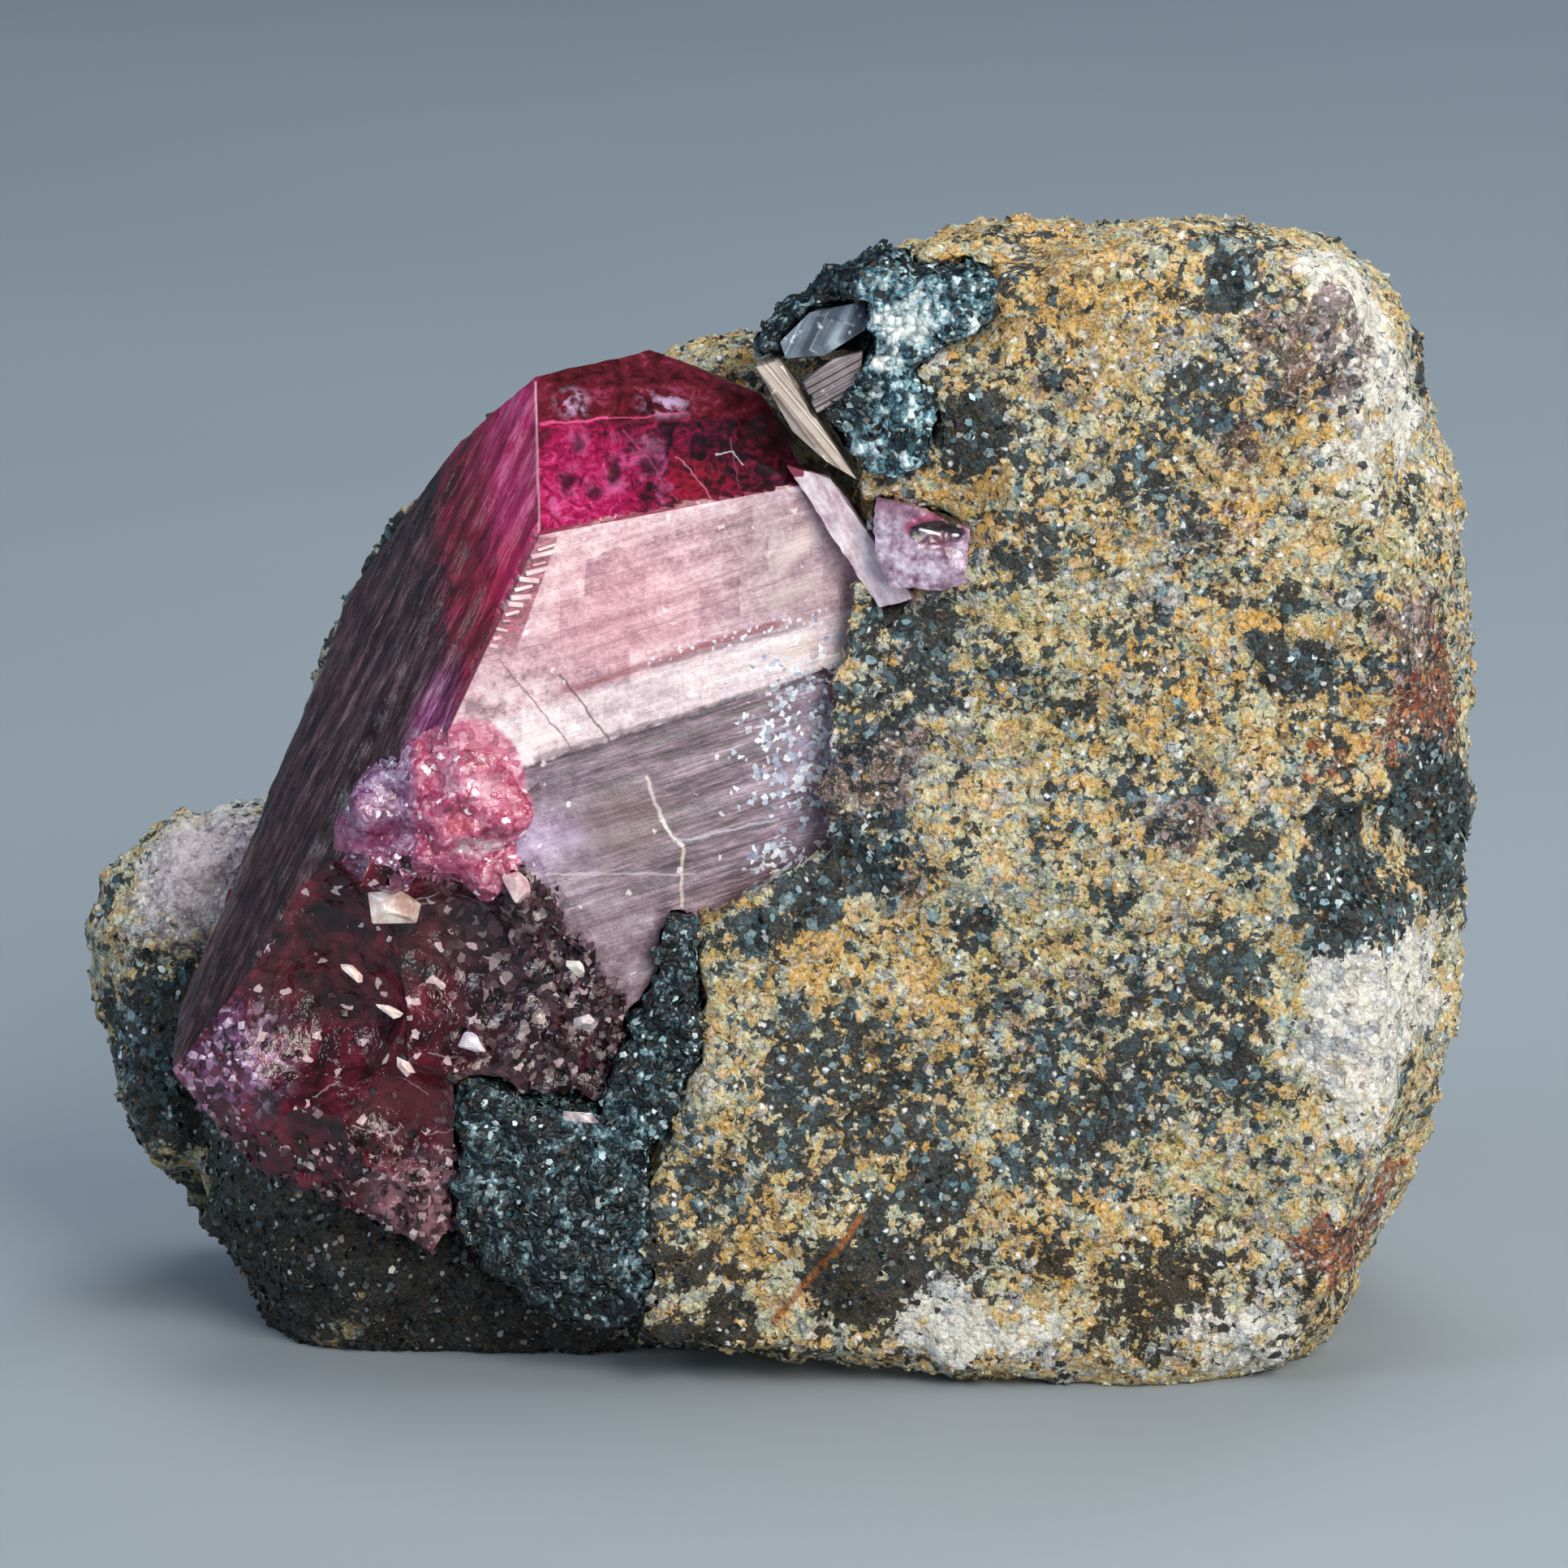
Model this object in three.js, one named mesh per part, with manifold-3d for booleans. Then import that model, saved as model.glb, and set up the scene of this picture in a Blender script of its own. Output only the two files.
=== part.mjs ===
// A ruby crystal in its matrix rock: a hand specimen 46 mm wide that rests on its broken underside.
// Millimetres, +Z up, -Y towards the viewer. The origin is on the resting surface, below the middle.
import * as THREE from "three";
import { ConvexGeometry } from "three/addons/geometries/ConvexGeometry.js";
import { ImprovedNoise } from "three/addons/math/ImprovedNoise.js";
import { TessellateModifier } from "three/addons/modifiers/TessellateModifier.js";
import { mergeVertices } from "three/addons/utils/BufferGeometryUtils.js";
import Module from "manifold-3d";

// Driving sizes
const GAP = 0.3; // left between a crystal and the rock that holds it
const CORNER_GAP = 0.45; // how far a crystal's corners move out to leave that gap beside its faces
const REST_HEIGHT = 0; // the plane that the broken underside stands on
const ROCK_SIZE = 46; // about the widest length across the rock
const CUT_DEPTH = 12; // of the block that trims the underside flat
const SAME_POINT = 1e-4; // points closer than this are one point
const SPLITS = 12; // most times a face is halved to reach the facet length
const ROCK_EDGE = 3; // longest edge of the facets that the rock's rough skin is made of
const MICA_EDGE = 1.7; // and the same for the scaly skin of the mica

const wasm = await Module();
wasm.setup();
const noise = new ImprovedNoise();

// Solids: three.js geometry to manifold-3d and back, for joins and cuts only

function solid(geometry) {
  const bare = geometry.clone();
  bare.deleteAttribute("normal");
  bare.deleteAttribute("uv");
  const merged = mergeVertices(bare, SAME_POINT);
  return new wasm.Manifold(
    new wasm.Mesh({
      numProp: 3,
      vertProperties: merged.attributes.position.array,
      triVerts: new Uint32Array(merged.index.array),
    }),
  );
}

function geometryOf(shape) {
  const { vertProperties, triVerts } = shape.getMesh();
  const geometry = new THREE.BufferGeometry();
  geometry.setAttribute("position", new THREE.BufferAttribute(vertProperties, 3));
  geometry.setIndex(new THREE.BufferAttribute(triVerts, 1));
  return geometry;
}

function join(shapes) {
  return shapes.reduce((whole, shape) => whole.add(shape));
}

function clearOf(cuts, shape) {
  return cuts.reduce((rest, cut) => rest.subtract(cut), shape);
}

// Relief: how far the skin stands out at a place. A wave has a height, a length and a seed that shifts it.

const RELIEF = {
  swell: { height: 0.65, length: 8.5, seed: 3.1 },
  ledges: { height: 0.8, length: 4.2, seed: 11.7 },
  pits: { height: 0.8, length: 2.6, seed: 23.3 },
  crumple: { height: 0.45, length: 2.3, seed: 5.9 },
  scales: { height: 0.35, length: 1.2, seed: 17.1 },
  sugar: { height: 0.5, length: 1.7, seed: 31.3 },
  grains: { height: 0.12, length: 0.6, seed: 41.9 },
  shell: { height: 0.8, length: 4.4, seed: 8.3 },
  ripples: { height: 0.35, length: 1.9, seed: 13.7 },
};
const LEDGE_STEP = 0.2; // height of one ledge
const LEDGE_SLOPE = 0.35; // how much of each ledge's tread still follows the swell
const PIT_RIM = 0.2; // the skin is pitted only where the wave is deeper than this

function waves(place, { height, length, seed }) {
  const at = place.clone().divideScalar(length);
  return height * noise.noise(at.x + seed, at.y + 2 * seed, at.z + 3 * seed);
}

// Broad swells, ledges where the rock broke in steps, and pits where grains fell out.
function rockSkin(place) {
  const steps = waves(place, RELIEF.ledges) / LEDGE_STEP;
  const ledge = LEDGE_STEP * (Math.round(steps) + LEDGE_SLOPE * (steps - Math.round(steps)));
  const pit = Math.max(0, waves(place, RELIEF.pits) - PIT_RIM);
  return waves(place, RELIEF.swell) + ledge - pit;
}

// The crumpled, scaly skin of packed mica flakes.
function micaSkin(place) {
  return waves(place, RELIEF.crumple) + waves(place, RELIEF.scales);
}

// The sugary skin of a granular ruby knot.
function grainySkin(place) {
  return waves(place, RELIEF.sugar) + waves(place, RELIEF.grains);
}

// A smooth shell-shaped fracture with low ripples.
function fractureSkin(place) {
  return waves(place, RELIEF.shell) + Math.abs(waves(place, RELIEF.ripples));
}

// Moves every point of a closed skin in or out by its relief, along the way that the skin faces there.
function roughen(geometry, skin, grow) {
  const bare = geometry.clone();
  bare.deleteAttribute("normal");
  bare.deleteAttribute("uv");
  const merged = mergeVertices(bare, SAME_POINT);
  merged.computeVertexNormals();
  const { position, normal } = merged.attributes;
  const place = new THREE.Vector3();
  const out = new THREE.Vector3();
  for (let i = 0; i < position.count; i++) {
    place.fromBufferAttribute(position, i);
    out.fromBufferAttribute(normal, i);
    place.addScaledVector(out, skin(place) + grow);
    position.setXYZ(i, place.x, place.y, place.z);
  }
  return solid(merged);
}

// A broken block: flat breaks between its corners, under a rough skin with facets no longer than edge.
function brokenBlock(corners, skin = rockSkin, edge = ROCK_EDGE, grow = 0) {
  const hull = new ConvexGeometry(corners.map((corner) => new THREE.Vector3(...corner)));
  return roughen(new TessellateModifier(edge, SPLITS).modify(hull), skin, grow);
}

// An oval lump with a rough skin.
function knot(centre, radii, detail, skin, grow = 0) {
  const oval = new THREE.IcosahedronGeometry(1, detail).scale(...radii).translate(...centre);
  return roughen(oval, skin, grow);
}

// A flat-faced crystal round its corner points, which move away from the middle by grow.
function crystal(corners, grow = 0) {
  const points = corners.map((corner) => new THREE.Vector3(...corner));
  const middle = points.reduce((sum, p) => sum.add(p), new THREE.Vector3()).divideScalar(points.length);
  const grown = points.map((p) => p.clone().addScaledVector(p.clone().sub(middle).normalize(), grow));
  return solid(new ConvexGeometry(grown));
}

// The ruby: a tapering six-sided crystal that leans against the rock, its foot broken away

const RUBY_CORNERS = {
  frontShoulder: [-8.1, -9, 28.7], // where the pale face, the left face and the two end faces meet
  rightShoulder: [0.7, -7, 30],
  frontPeak: [-8.3, -5, 33.1],
  backPeak: [-4.6, -3, 33.6],
  rightPeak: [-2.3, -3, 32.8],
  rightSlope: [-0.9, -4.4, 32.4],
  rightCorner: [0.3, -5, 30.6],
  leftShoulder: [-10.9, -2, 30.3],
  leftFlank: [-14.4, -1, 25.3],
  leftKnee: [-17.3, -2, 18.2],
  leftFoot: [-20.3, -4, 11.3],
  tip: [-20.4, -6, 10],
  frontKnee: [-11, -9.7, 22.5],
  frontFoot: [-14, -9.9, 12],
  lowTip: [-18.1, -6.6, 6.9],
  lowFront: [-11.8, -8.6, 4.6],
  lowRight: [-3.6, -7.9, 11],
  rightFlank: [3.4, -6.2, 26.6],
  rightSide: [2.6, -6.4, 17],
  backTop: [-5, 4, 30.5],
  backRight: [2, 2, 25],
  backLeft: [-13, 4, 22],
  backFoot: [-15, 1, 8],
};

// A pale strip of the next growth layer, which runs down the right edge of the big face
const RIGHT_STRIP_CORNERS = [
  [-0.1, -7.4, 30.7],
  [1.3, -7.5, 30.3],
  [4, -8, 26.4],
  [2.9, -8, 26.1],
  [0.4, -5, 30.4],
  [1.3, -5, 30],
  [4, -5, 26.4],
  [3, -5, 26.2],
];

// The space below the step where the lower third of the big face lies deeper than the rest
const LOW_STEP_CORNERS = [
  [-9.4, -9, 19.6],
  [-7, -8.45, 21.4],
  [1.2, -6.65, 23.8],
  [-9.4, -11, 19.6],
  [-7, -11, 21.4],
  [1.2, -9, 23.8],
  [-7.3, -8.75, 16.6],
  [-2.7, -7.8, 14.2],
  [2, -6.8, 17.5],
  [-7.3, -11, 16.6],
  [-2.7, -10, 14.2],
  [2, -9, 17.5],
];

// Lumps of sugary ruby that grew on the shoulder above the foot: [centre, radii, detail]
const SUGARY_KNOTS = [
  [[-10.6, -8.9, 19.8], [1.7, 1.3, 2.4], 4],
  [[-13.2, -8.2, 19.1], [1.3, 1.2, 1.7], 3],
];

// Ovals that scoop out the foot's shell-shaped breaks: [centre, radii, detail]
const FOOT_HOLLOWS = [
  [[-11.6, -14.8, 13.8], [6, 7, 5.6], 7],
  [[-15.8, -11.6, 13.4], [4.6, 5, 5.6], 6],
  [[-12.6, -11.4, 8.8], [3.4, 3.6, 3.2], 4],
  [[-7.4, -11, 13.2], [2.4, 2.6, 3.4], 4],
];

// Angular fragments left standing in the broken foot: [centre, long radius]
const CHIPS = [
  [[-8.9, -9.1, 17], 0.8],
  [[-7.8, -8.9, 16.4], 0.7],
  [[-6.8, -8.7, 15], 0.75],
  [[-6.1, -8.6, 13.4], 0.7],
  [[-5.7, -8.5, 11.8], 0.8],
  [[-7.6, -8.8, 12], 0.9],
  [[-10.3, -8.8, 11.4], 1],
  [[-13.4, -9.6, 17.6], 0.9],
  [[-16.6, -8.3, 9.4], 0.9],
  [[-14.4, -8.5, 8.2], 0.8],
];
const CHIP_WIDTH = 0.55; // of its length
const CHIP_TURN = 2.4; // radians from one chip's turn to the next, so that no two lie alike

function chip([x, y, z], reach, order) {
  const shard = new THREE.OctahedronGeometry(reach).scale(CHIP_WIDTH, CHIP_WIDTH, 1);
  return solid(shard.rotateX(order).rotateY(order * CHIP_TURN).translate(x, y, z));
}

function rubyCrystal(grow = 0) {
  const body = crystal(Object.values(RUBY_CORNERS), grow);
  const rightStrip = crystal(RIGHT_STRIP_CORNERS, grow);
  const knots = SUGARY_KNOTS.map(([centre, radii, detail]) => knot(centre, radii, detail, grainySkin, grow));
  if (grow) return join([body, rightStrip, ...knots]);
  const hollows = FOOT_HOLLOWS.map(([centre, radii, detail]) => knot(centre, radii, detail, fractureSkin));
  const broken = clearOf([crystal(LOW_STEP_CORNERS), ...hollows], body);
  const chips = CHIPS.map(([centre, reach], order) => chip(centre, reach, order));
  return join([broken, rightStrip, ...knots, ...chips]);
}

// A stub of a second ruby, half sunk in the rock to the right
const SMALL_RUBY_CORNERS = [
  [2.8, -8.9, 29.9],
  [4.1, -9.3, 29.7],
  [5.8, -9, 28.9],
  [5.7, -9.2, 27.2],
  [4.9, -9.1, 26.9],
  [3.3, -8.9, 27],
  [2.7, -8.7, 28.6],
  [3, -6, 29.4],
  [5.6, -6, 28.6],
  [4.4, -6, 26.8],
];

// Dark mica in flat sheets, standing on edge above the ruby's right shoulder
const MICA_BOOK_CORNERS = [
  [-0.4, -7.1, 34.7],
  [0.6, -7, 35.7],
  [2.5, -7.1, 36.1],
  [2.5, -7.4, 35.2],
  [1.1, -7.4, 34.3],
  [-0.2, -7.4, 34.2],
  [0.4, -4, 34.6],
  [1.4, -4, 35.4],
  [2.4, -4, 35.4],
  [1.2, -4, 34],
];

const MICA_BLADE_CORNERS = [
  [0.4, -7.8, 33.5],
  [1.4, -7.8, 34.3],
  [2.4, -8, 34.6],
  [2.3, -8.1, 33.9],
  [1.9, -8.2, 33.2],
  [0.9, -8.1, 32.6],
  [0.8, -5, 33.4],
  [2.4, -5, 34.2],
  [1.6, -5, 32.8],
];

// A sheet of mica seen on edge along the ruby's right side
const MICA_SHEET_CORNERS = [
  [-1.1, -7.5, 34],
  [-0.3, -7.4, 34.2],
  [2.2, -8.3, 30.4],
  [1.2, -8.2, 31],
  [0.1, -7.7, 31.9],
  [-1, -4, 33.6],
  [-0.4, -4, 33.8],
  [2.1, -5, 30.4],
  [1.3, -5, 31],
];

// Packed dark mica: a lobe on the slab's top corner, a rim behind the flat sheets, a lobe below and a neck
const UPPER_MICA_BLOCKS = [
  [
    [1.8, -8, 36.7],
    [2.7, -8.3, 37.2],
    [5.4, -8.7, 37.2],
    [6.7, -8.5, 37],
    [6.5, -8.7, 35.6],
    [5.4, -8.9, 35.4],
    [3.4, -8.6, 36],
    [2.7, -8.1, 36.5],
    [1.8, -4, 36.4],
    [6.5, -4, 36.8],
    [5, -4, 35],
  ],
  [
    [-1, -6.2, 34.2],
    [-0.5, -5.7, 35.3],
    [0.6, -5.7, 36.3],
    [1.8, -5.9, 37],
    [2.8, -6.4, 37.4],
    [4, -7, 37.3],
    [2.6, -6.8, 36.3],
    [0.6, -6.6, 35.8],
    [-0.8, -3, 33.4],
    [0.6, -3, 35.6],
    [3.4, -3, 37],
    [3.4, -3, 34],
  ],
  [
    [2.7, -8.7, 34.6],
    [3.6, -9.1, 34.4],
    [4.6, -9, 33.3],
    [4.2, -9.2, 31.3],
    [3.6, -9, 30.8],
    [2.7, -8.9, 30.7],
    [1.9, -8.6, 31.4],
    [1.3, -8.3, 32.3],
    [2, -4, 33.6],
    [4.5, -4, 34],
    [4.2, -4, 31],
    [2.2, -4, 31.2],
    [3, -6, 36],
  ],
  [
    [2.7, -8.2, 36.4],
    [4.4, -8.7, 36.2],
    [4.8, -8.6, 35],
    [4.1, -8.9, 34.1],
    [2.9, -8.5, 34],
    [2.6, -8, 35.2],
    [2.9, -4, 36],
    [4.5, -4, 35.8],
    [4, -4, 34.2],
  ],
];

// Packed dark mica at the ruby's foot: a broad lobe, and a strip up the edge of its big face
const LOWER_MICA_BLOCKS = [
  [
    [-10.8, -8.8, 10.4],
    [-9.4, -9.4, 9.2],
    [-6.2, -9.6, 9.2],
    [-4.6, -9.7, 8.6],
    [-4.4, -9.8, 5.7],
    [-4.2, -9.5, 2.6],
    [-5.7, -8.9, 1.9],
    [-8.6, -8.5, 2.8],
    [-10.5, -8.7, 4.4],
    [-11, -9, 6],
    [-8, -10, 6],
    [-10.4, -4.4, 9],
    [-5, -4.4, 9],
    [-5, -4.4, 3],
    [-9.6, -4.4, 4.6],
  ],
  [
    [-6.2, -9.3, 9.2],
    [-4.9, -9.1, 12.1],
    [-4, -8.9, 14.4],
    [-3.7, -8.8, 16],
    [-3, -8.9, 16.1],
    [-2.9, -9.2, 13.8],
    [-3.1, -9.6, 11.2],
    [-4.3, -9.7, 8.4],
    [-5.6, -5, 9],
    [-3.8, -5, 15],
    [-3.4, -5, 9],
  ],
];

function packedMica(blocks, grow = 0) {
  return join(blocks.map((corners) => brokenBlock(corners, micaSkin, MICA_EDGE, grow)));
}

// The rock: a thick slab on the right, a low base under the crystal, a knob on the left and a ridge behind

const SLAB_CORNERS = [
  // round the edge of the front face, from the top left
  [3.3, -7.7, 36.8],
  [9.6, -7.4, 37.5],
  [13.8, -6.6, 38],
  [17.3, -6.4, 36.9],
  [18.7, -7.6, 34.2],
  [19.4, -8.2, 28],
  [19.8, -8.3, 21.5],
  [18.7, -8.9, 14],
  [18.6, -9.2, 8.6],
  [17.2, -9, 3.6],
  [15.2, -7.8, -0.6],
  [11.4, -8.8, -0.6],
  [9.4, -9.5, 0.9],
  [5.4, -9.6, 1],
  [1, -9, 14],
  [1, -8.6, 20.4],
  [1.4, -8.4, 24.6],
  [3, -8.2, 27.6],
  // round the widest part, behind it
  [3, -3, 37],
  [15.4, 0, 37.3],
  [18.2, 0, 36.5],
  [20.2, -0.5, 35],
  [21, -1, 33],
  [22.2, -2, 24.2],
  [22.6, -2, 20.2],
  [22.4, -2, 11],
  [20.9, -2, 6.6],
  [19, -3, 2.4],
  [18, -3.4, -0.6],
  // round the back
  [4, 9.5, 32.6],
  [12, 10.2, 34],
  [17, 8.4, 32],
  [19.3, 7.8, 23],
  [19.6, 7.4, 11],
  [17.4, 7.2, -0.6],
  [11, 12.4, 21],
  [11, 12, 7],
  [3, 12.4, 22],
  [3, 11.4, -0.6],
];

// The part of the slab that laps round the lower end of the ruby's big face
const APRON_CORNERS = [
  [2.4, -8.4, 18.6],
  [-0.4, -8.8, 17.3],
  [-2.8, -9, 16.1],
  [-3.2, -9.4, 11.2],
  [-4.6, -9.6, 8.4],
  [-4.5, -9.7, 2.4],
  [-2.2, -9.8, 1.8],
  [2.4, -9.7, 1.5],
  [8, -8.8, 0.2],
  [7, -8.2, 15.6],
  [0.6, -9.8, 9],
  [-3.6, -3, 15.4],
  [-5.4, -3, 7],
  [-4.8, -2.6, -0.6],
  [8, 0, 18],
  [8, 0, -0.6],
];

const BASE_CORNERS = [
  [-15.5, -4.8, -0.6],
  [-7.4, -5.5, -0.6],
  [5, -4, -0.6],
  [5, 12.4, -0.6],
  [-8, 13, -0.6],
  [-15, 10.6, -0.6],
  [-18.4, 4, -0.6],
  [-17.5, -2, -0.6],
  [-19.3, -0.6, 3.2],
  [-17.8, -4, 3],
  [-14.6, -6.5, 3.2],
  [-8, -7.2, 2.8],
  [-20.6, 3.4, 8],
  [-17.4, -3.6, 6.6],
  [-13, 12.6, 9],
  [-3, 14, 11],
  [4, 13, 12],
  [4, -6, 8],
];

const KNOB_CORNERS = [
  [-17.6, 1, 16],
  [-20.3, 1.2, 15],
  [-22.2, 1, 12.6],
  [-22.7, 0.8, 9],
  [-21.6, 0.4, 5.2],
  [-17.4, 4, 16.8],
  [-20.8, 4.4, 15.9],
  [-22.7, 4, 13.8],
  [-23.3, 3.6, 10.8],
  [-23.3, 3.4, 8.4],
  [-22, 3, 5],
  [-19.8, 3.6, 1],
  [-16.6, 9, 14.4],
  [-20, 8.4, 13.2],
  [-21.5, 7.6, 9.4],
  [-20.2, 7.6, 3],
  [-12, 8.4, 14],
  [-12, 2, 14],
  [-12, 4, 2],
];

const RIDGE_CORNERS = [
  [-17.4, 2, 14],
  [-16.4, 1.2, 19.6],
  [-14.3, 0.8, 25.6],
  [-13.4, 0.6, 27.4],
  [-12.4, 0.6, 28.6],
  [-9.2, 2, 30.8],
  [-5.4, 3, 31.8],
  [-1.4, 0.4, 32.8],
  [4, 0.4, 34.4],
  [-12.4, 8, 23.4],
  [-13.6, 9, 16],
  [-8, 9.6, 26.6],
  [-2, 10.6, 28.2],
  [5, 10, 30],
  [-12, 12, 9],
  [-2, 14, 13],
  [5, 13, 14],
  [-13, 4, 4],
  [5, 4, 4],
];

// A step where a corner of the slab broke out, under the dark ledge on the right
const LEDGE_BREAK_CORNERS = [
  [15.2, -10.6, 19.8],
  [25, -10.6, 20.6],
  [25, -0.6, 19.4],
  [25, -0.6, 16.4],
  [25, -10.6, 14.4],
  [16, -10.6, 16.8],
  [17.6, -7.6, 18.8],
];

function underside() {
  const block = new THREE.BoxGeometry(2 * ROCK_SIZE, 2 * ROCK_SIZE, CUT_DEPTH);
  block.translate(0, 0, REST_HEIGHT - CUT_DEPTH / 2);
  return solid(block);
}

function matrixRock(held) {
  const blocks = [SLAB_CORNERS, APRON_CORNERS, BASE_CORNERS, KNOB_CORNERS, RIDGE_CORNERS];
  const whole = join(blocks.map((corners) => brokenBlock(corners)));
  return clearOf([brokenBlock(LEDGE_BREAK_CORNERS), ...held, underside()], whole);
}

// The crystals, each cut clear of its neighbours, and the rock cut clear of them all

const ruby = rubyCrystal();
const rubyRoom = rubyCrystal(CORNER_GAP);
const smallCrystals = {
  small_ruby: SMALL_RUBY_CORNERS,
  mica_book: MICA_BOOK_CORNERS,
  mica_blade: MICA_BLADE_CORNERS,
  mica_sheet: MICA_SHEET_CORNERS,
};

const shapes = { ruby_crystal: ruby.subtract(packedMica(LOWER_MICA_BLOCKS, GAP)) };
const rooms = [rubyRoom];
for (const [name, corners] of Object.entries(smallCrystals)) {
  shapes[name] = clearOf(rooms, crystal(corners));
  rooms.push(crystal(corners, CORNER_GAP));
}
shapes.upper_mica = clearOf(rooms, packedMica(UPPER_MICA_BLOCKS));
shapes.lower_mica = packedMica(LOWER_MICA_BLOCKS);
rooms.push(packedMica(UPPER_MICA_BLOCKS, GAP), packedMica(LOWER_MICA_BLOCKS, GAP));
shapes.matrix_rock = matrixRock(rooms);

const finishes = {
  matrix_rock: { color: "#a08c62", roughness: 0.85, metalness: 0 },
  ruby_crystal: { color: "#96203f", roughness: 0.18, metalness: 0 },
  small_ruby: { color: "#a0667c", roughness: 0.25, metalness: 0 },
  mica_book: { color: "#33363a", roughness: 0.22, metalness: 0 },
  mica_blade: { color: "#6b6668", roughness: 0.3, metalness: 0 },
  mica_sheet: { color: "#7d6f66", roughness: 0.3, metalness: 0 },
  upper_mica: { color: "#1f3a42", roughness: 0.45, metalness: 0 },
  lower_mica: { color: "#16282c", roughness: 0.45, metalness: 0 },
};

function bodiesOf(shape) {
  return shape.decompose().sort((a, b) => b.volume() - a.volume());
}

const specimen = new THREE.Group();
const extent = new THREE.Box3();
for (const [name, shape] of Object.entries(shapes)) {
  const mesh = new THREE.Mesh(geometryOf(bodiesOf(shape)[0]), new THREE.MeshStandardMaterial(finishes[name]));
  mesh.name = name;
  specimen.add(mesh);
  extent.expandByObject(mesh);
}
const middle = extent.getCenter(new THREE.Vector3());
specimen.position.set(-middle.x, -middle.y, -extent.min.z);

export default specimen;
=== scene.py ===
"""A ruby crystal in its matrix rock, dressed for a close look.

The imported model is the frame. Every skin here is grown from its solid: the rock gets its grain,
the mica its scales, and the ruby the growth steps, breaks and colours of its faces.
Places are written in the drawing's own millimetres, and placed() turns them into the frame's metres.
"""
import math
import random

import bpy
import numpy as np
from mathutils import Matrix, Vector, noise


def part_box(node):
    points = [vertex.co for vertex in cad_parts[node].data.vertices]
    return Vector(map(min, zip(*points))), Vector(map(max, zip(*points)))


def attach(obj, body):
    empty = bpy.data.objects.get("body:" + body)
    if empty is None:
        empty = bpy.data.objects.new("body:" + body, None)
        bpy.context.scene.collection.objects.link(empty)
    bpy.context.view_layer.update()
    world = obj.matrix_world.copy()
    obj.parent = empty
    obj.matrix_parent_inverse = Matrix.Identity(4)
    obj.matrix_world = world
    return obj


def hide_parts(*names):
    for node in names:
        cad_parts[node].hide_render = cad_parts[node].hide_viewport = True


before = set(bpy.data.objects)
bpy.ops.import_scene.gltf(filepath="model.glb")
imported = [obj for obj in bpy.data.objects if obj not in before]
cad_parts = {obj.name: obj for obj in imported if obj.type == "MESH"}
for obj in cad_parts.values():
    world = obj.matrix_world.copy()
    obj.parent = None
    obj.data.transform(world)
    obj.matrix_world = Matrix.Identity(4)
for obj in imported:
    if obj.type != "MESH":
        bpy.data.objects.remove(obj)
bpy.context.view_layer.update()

MM = 0.001
RIGHT, UP = (1, 0, 0), (0, 0, 1)
RUBY_LOW, RUBY_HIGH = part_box("ruby_crystal")
DRAWN_LEFT, DRAWN_BACK = -20.4, 4.0  # where the drawing has the ruby's left end and its back
SHIFT = Vector((RUBY_LOW.x - DRAWN_LEFT * MM, RUBY_HIGH.y - DRAWN_BACK * MM, 0))


def placed(x, y, z):
    """A place in the drawing's millimetres, as a place in the frame."""
    return Vector((x, y, z)) * MM + SHIFT


def drawn(place):
    """A place in the frame, in the drawing's millimetres."""
    return (place - SHIFT) / MM


# Colours


def ink(code):
    """A colour of a hexadecimal code, as the linear light that a shader takes."""
    parts = [int(code[i : i + 2], 16) / 255 for i in (1, 3, 5)]
    return (*[c / 12.92 if c <= 0.04045 else ((c + 0.055) / 1.055) ** 2.4 for c in parts], 1)


def add_node(tree, kind, feeds, output=0, **settings):
    """A node with its settings, whose sockets are fed by other nodes or by plain values."""
    node = tree.nodes.new(kind)
    for name, value in settings.items():
        setattr(node, name, value)
    for socket, feed in feeds.items():
        if isinstance(feed, bpy.types.NodeSocket):
            tree.links.new(feed, node.inputs[socket])
        else:
            node.inputs[socket].default_value = feed
    return node.outputs[output]


class Value:
    """A number, a place or a colour that a material works out, so that shading reads as arithmetic."""

    def __init__(self, finish, socket):
        self.finish = finish
        self.socket = socket

    def __add__(self, other):
        return self.finish.maths("ADD", self, other)

    def __radd__(self, other):
        return self.finish.maths("ADD", other, self)

    def __sub__(self, other):
        return self.finish.maths("SUBTRACT", self, other)

    def __rsub__(self, other):
        return self.finish.maths("SUBTRACT", other, self)

    def __mul__(self, other):
        return self.finish.maths("MULTIPLY", self, other)

    def __rmul__(self, other):
        return self.finish.maths("MULTIPLY", other, self)

    def __truediv__(self, other):
        return self.finish.maths("DIVIDE", self, other)

    def most(self, other):
        return self.finish.maths("MAXIMUM", self, other)

    def under(self, limit):
        """One where the value is below a limit."""
        return self.finish.maths("LESS_THAN", self, limit)

    def over(self, limit):
        """One where the value is above a limit."""
        return self.finish.maths("LESS_THAN", limit, self)

    def fade(self, start, end):
        """Rises smoothly from nought at start to one at end."""
        feeds = {"Value": self, "From Min": start, "From Max": end}
        return self.finish.node("ShaderNodeMapRange", feeds, interpolation_type="SMOOTHSTEP")

    def ramp(self, stops):
        """A run of colours, given as one text with the place and the code of each."""
        run = self.finish.node("ShaderNodeValToRGB", {0: self})
        bar = run.socket.node.color_ramp.elements
        stops = [stop.split() for stop in stops.split(", ")]
        while len(bar) < len(stops):
            bar.new(0.5)
        for element, (place, code) in zip(bar, stops):
            element.position = float(place)
            element.color = ink(code)
        return run

    def mix(self, factor, colour):
        """This colour where the factor is nought, the other where it is one."""
        return self.finish.mix(factor, self, colour)


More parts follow.
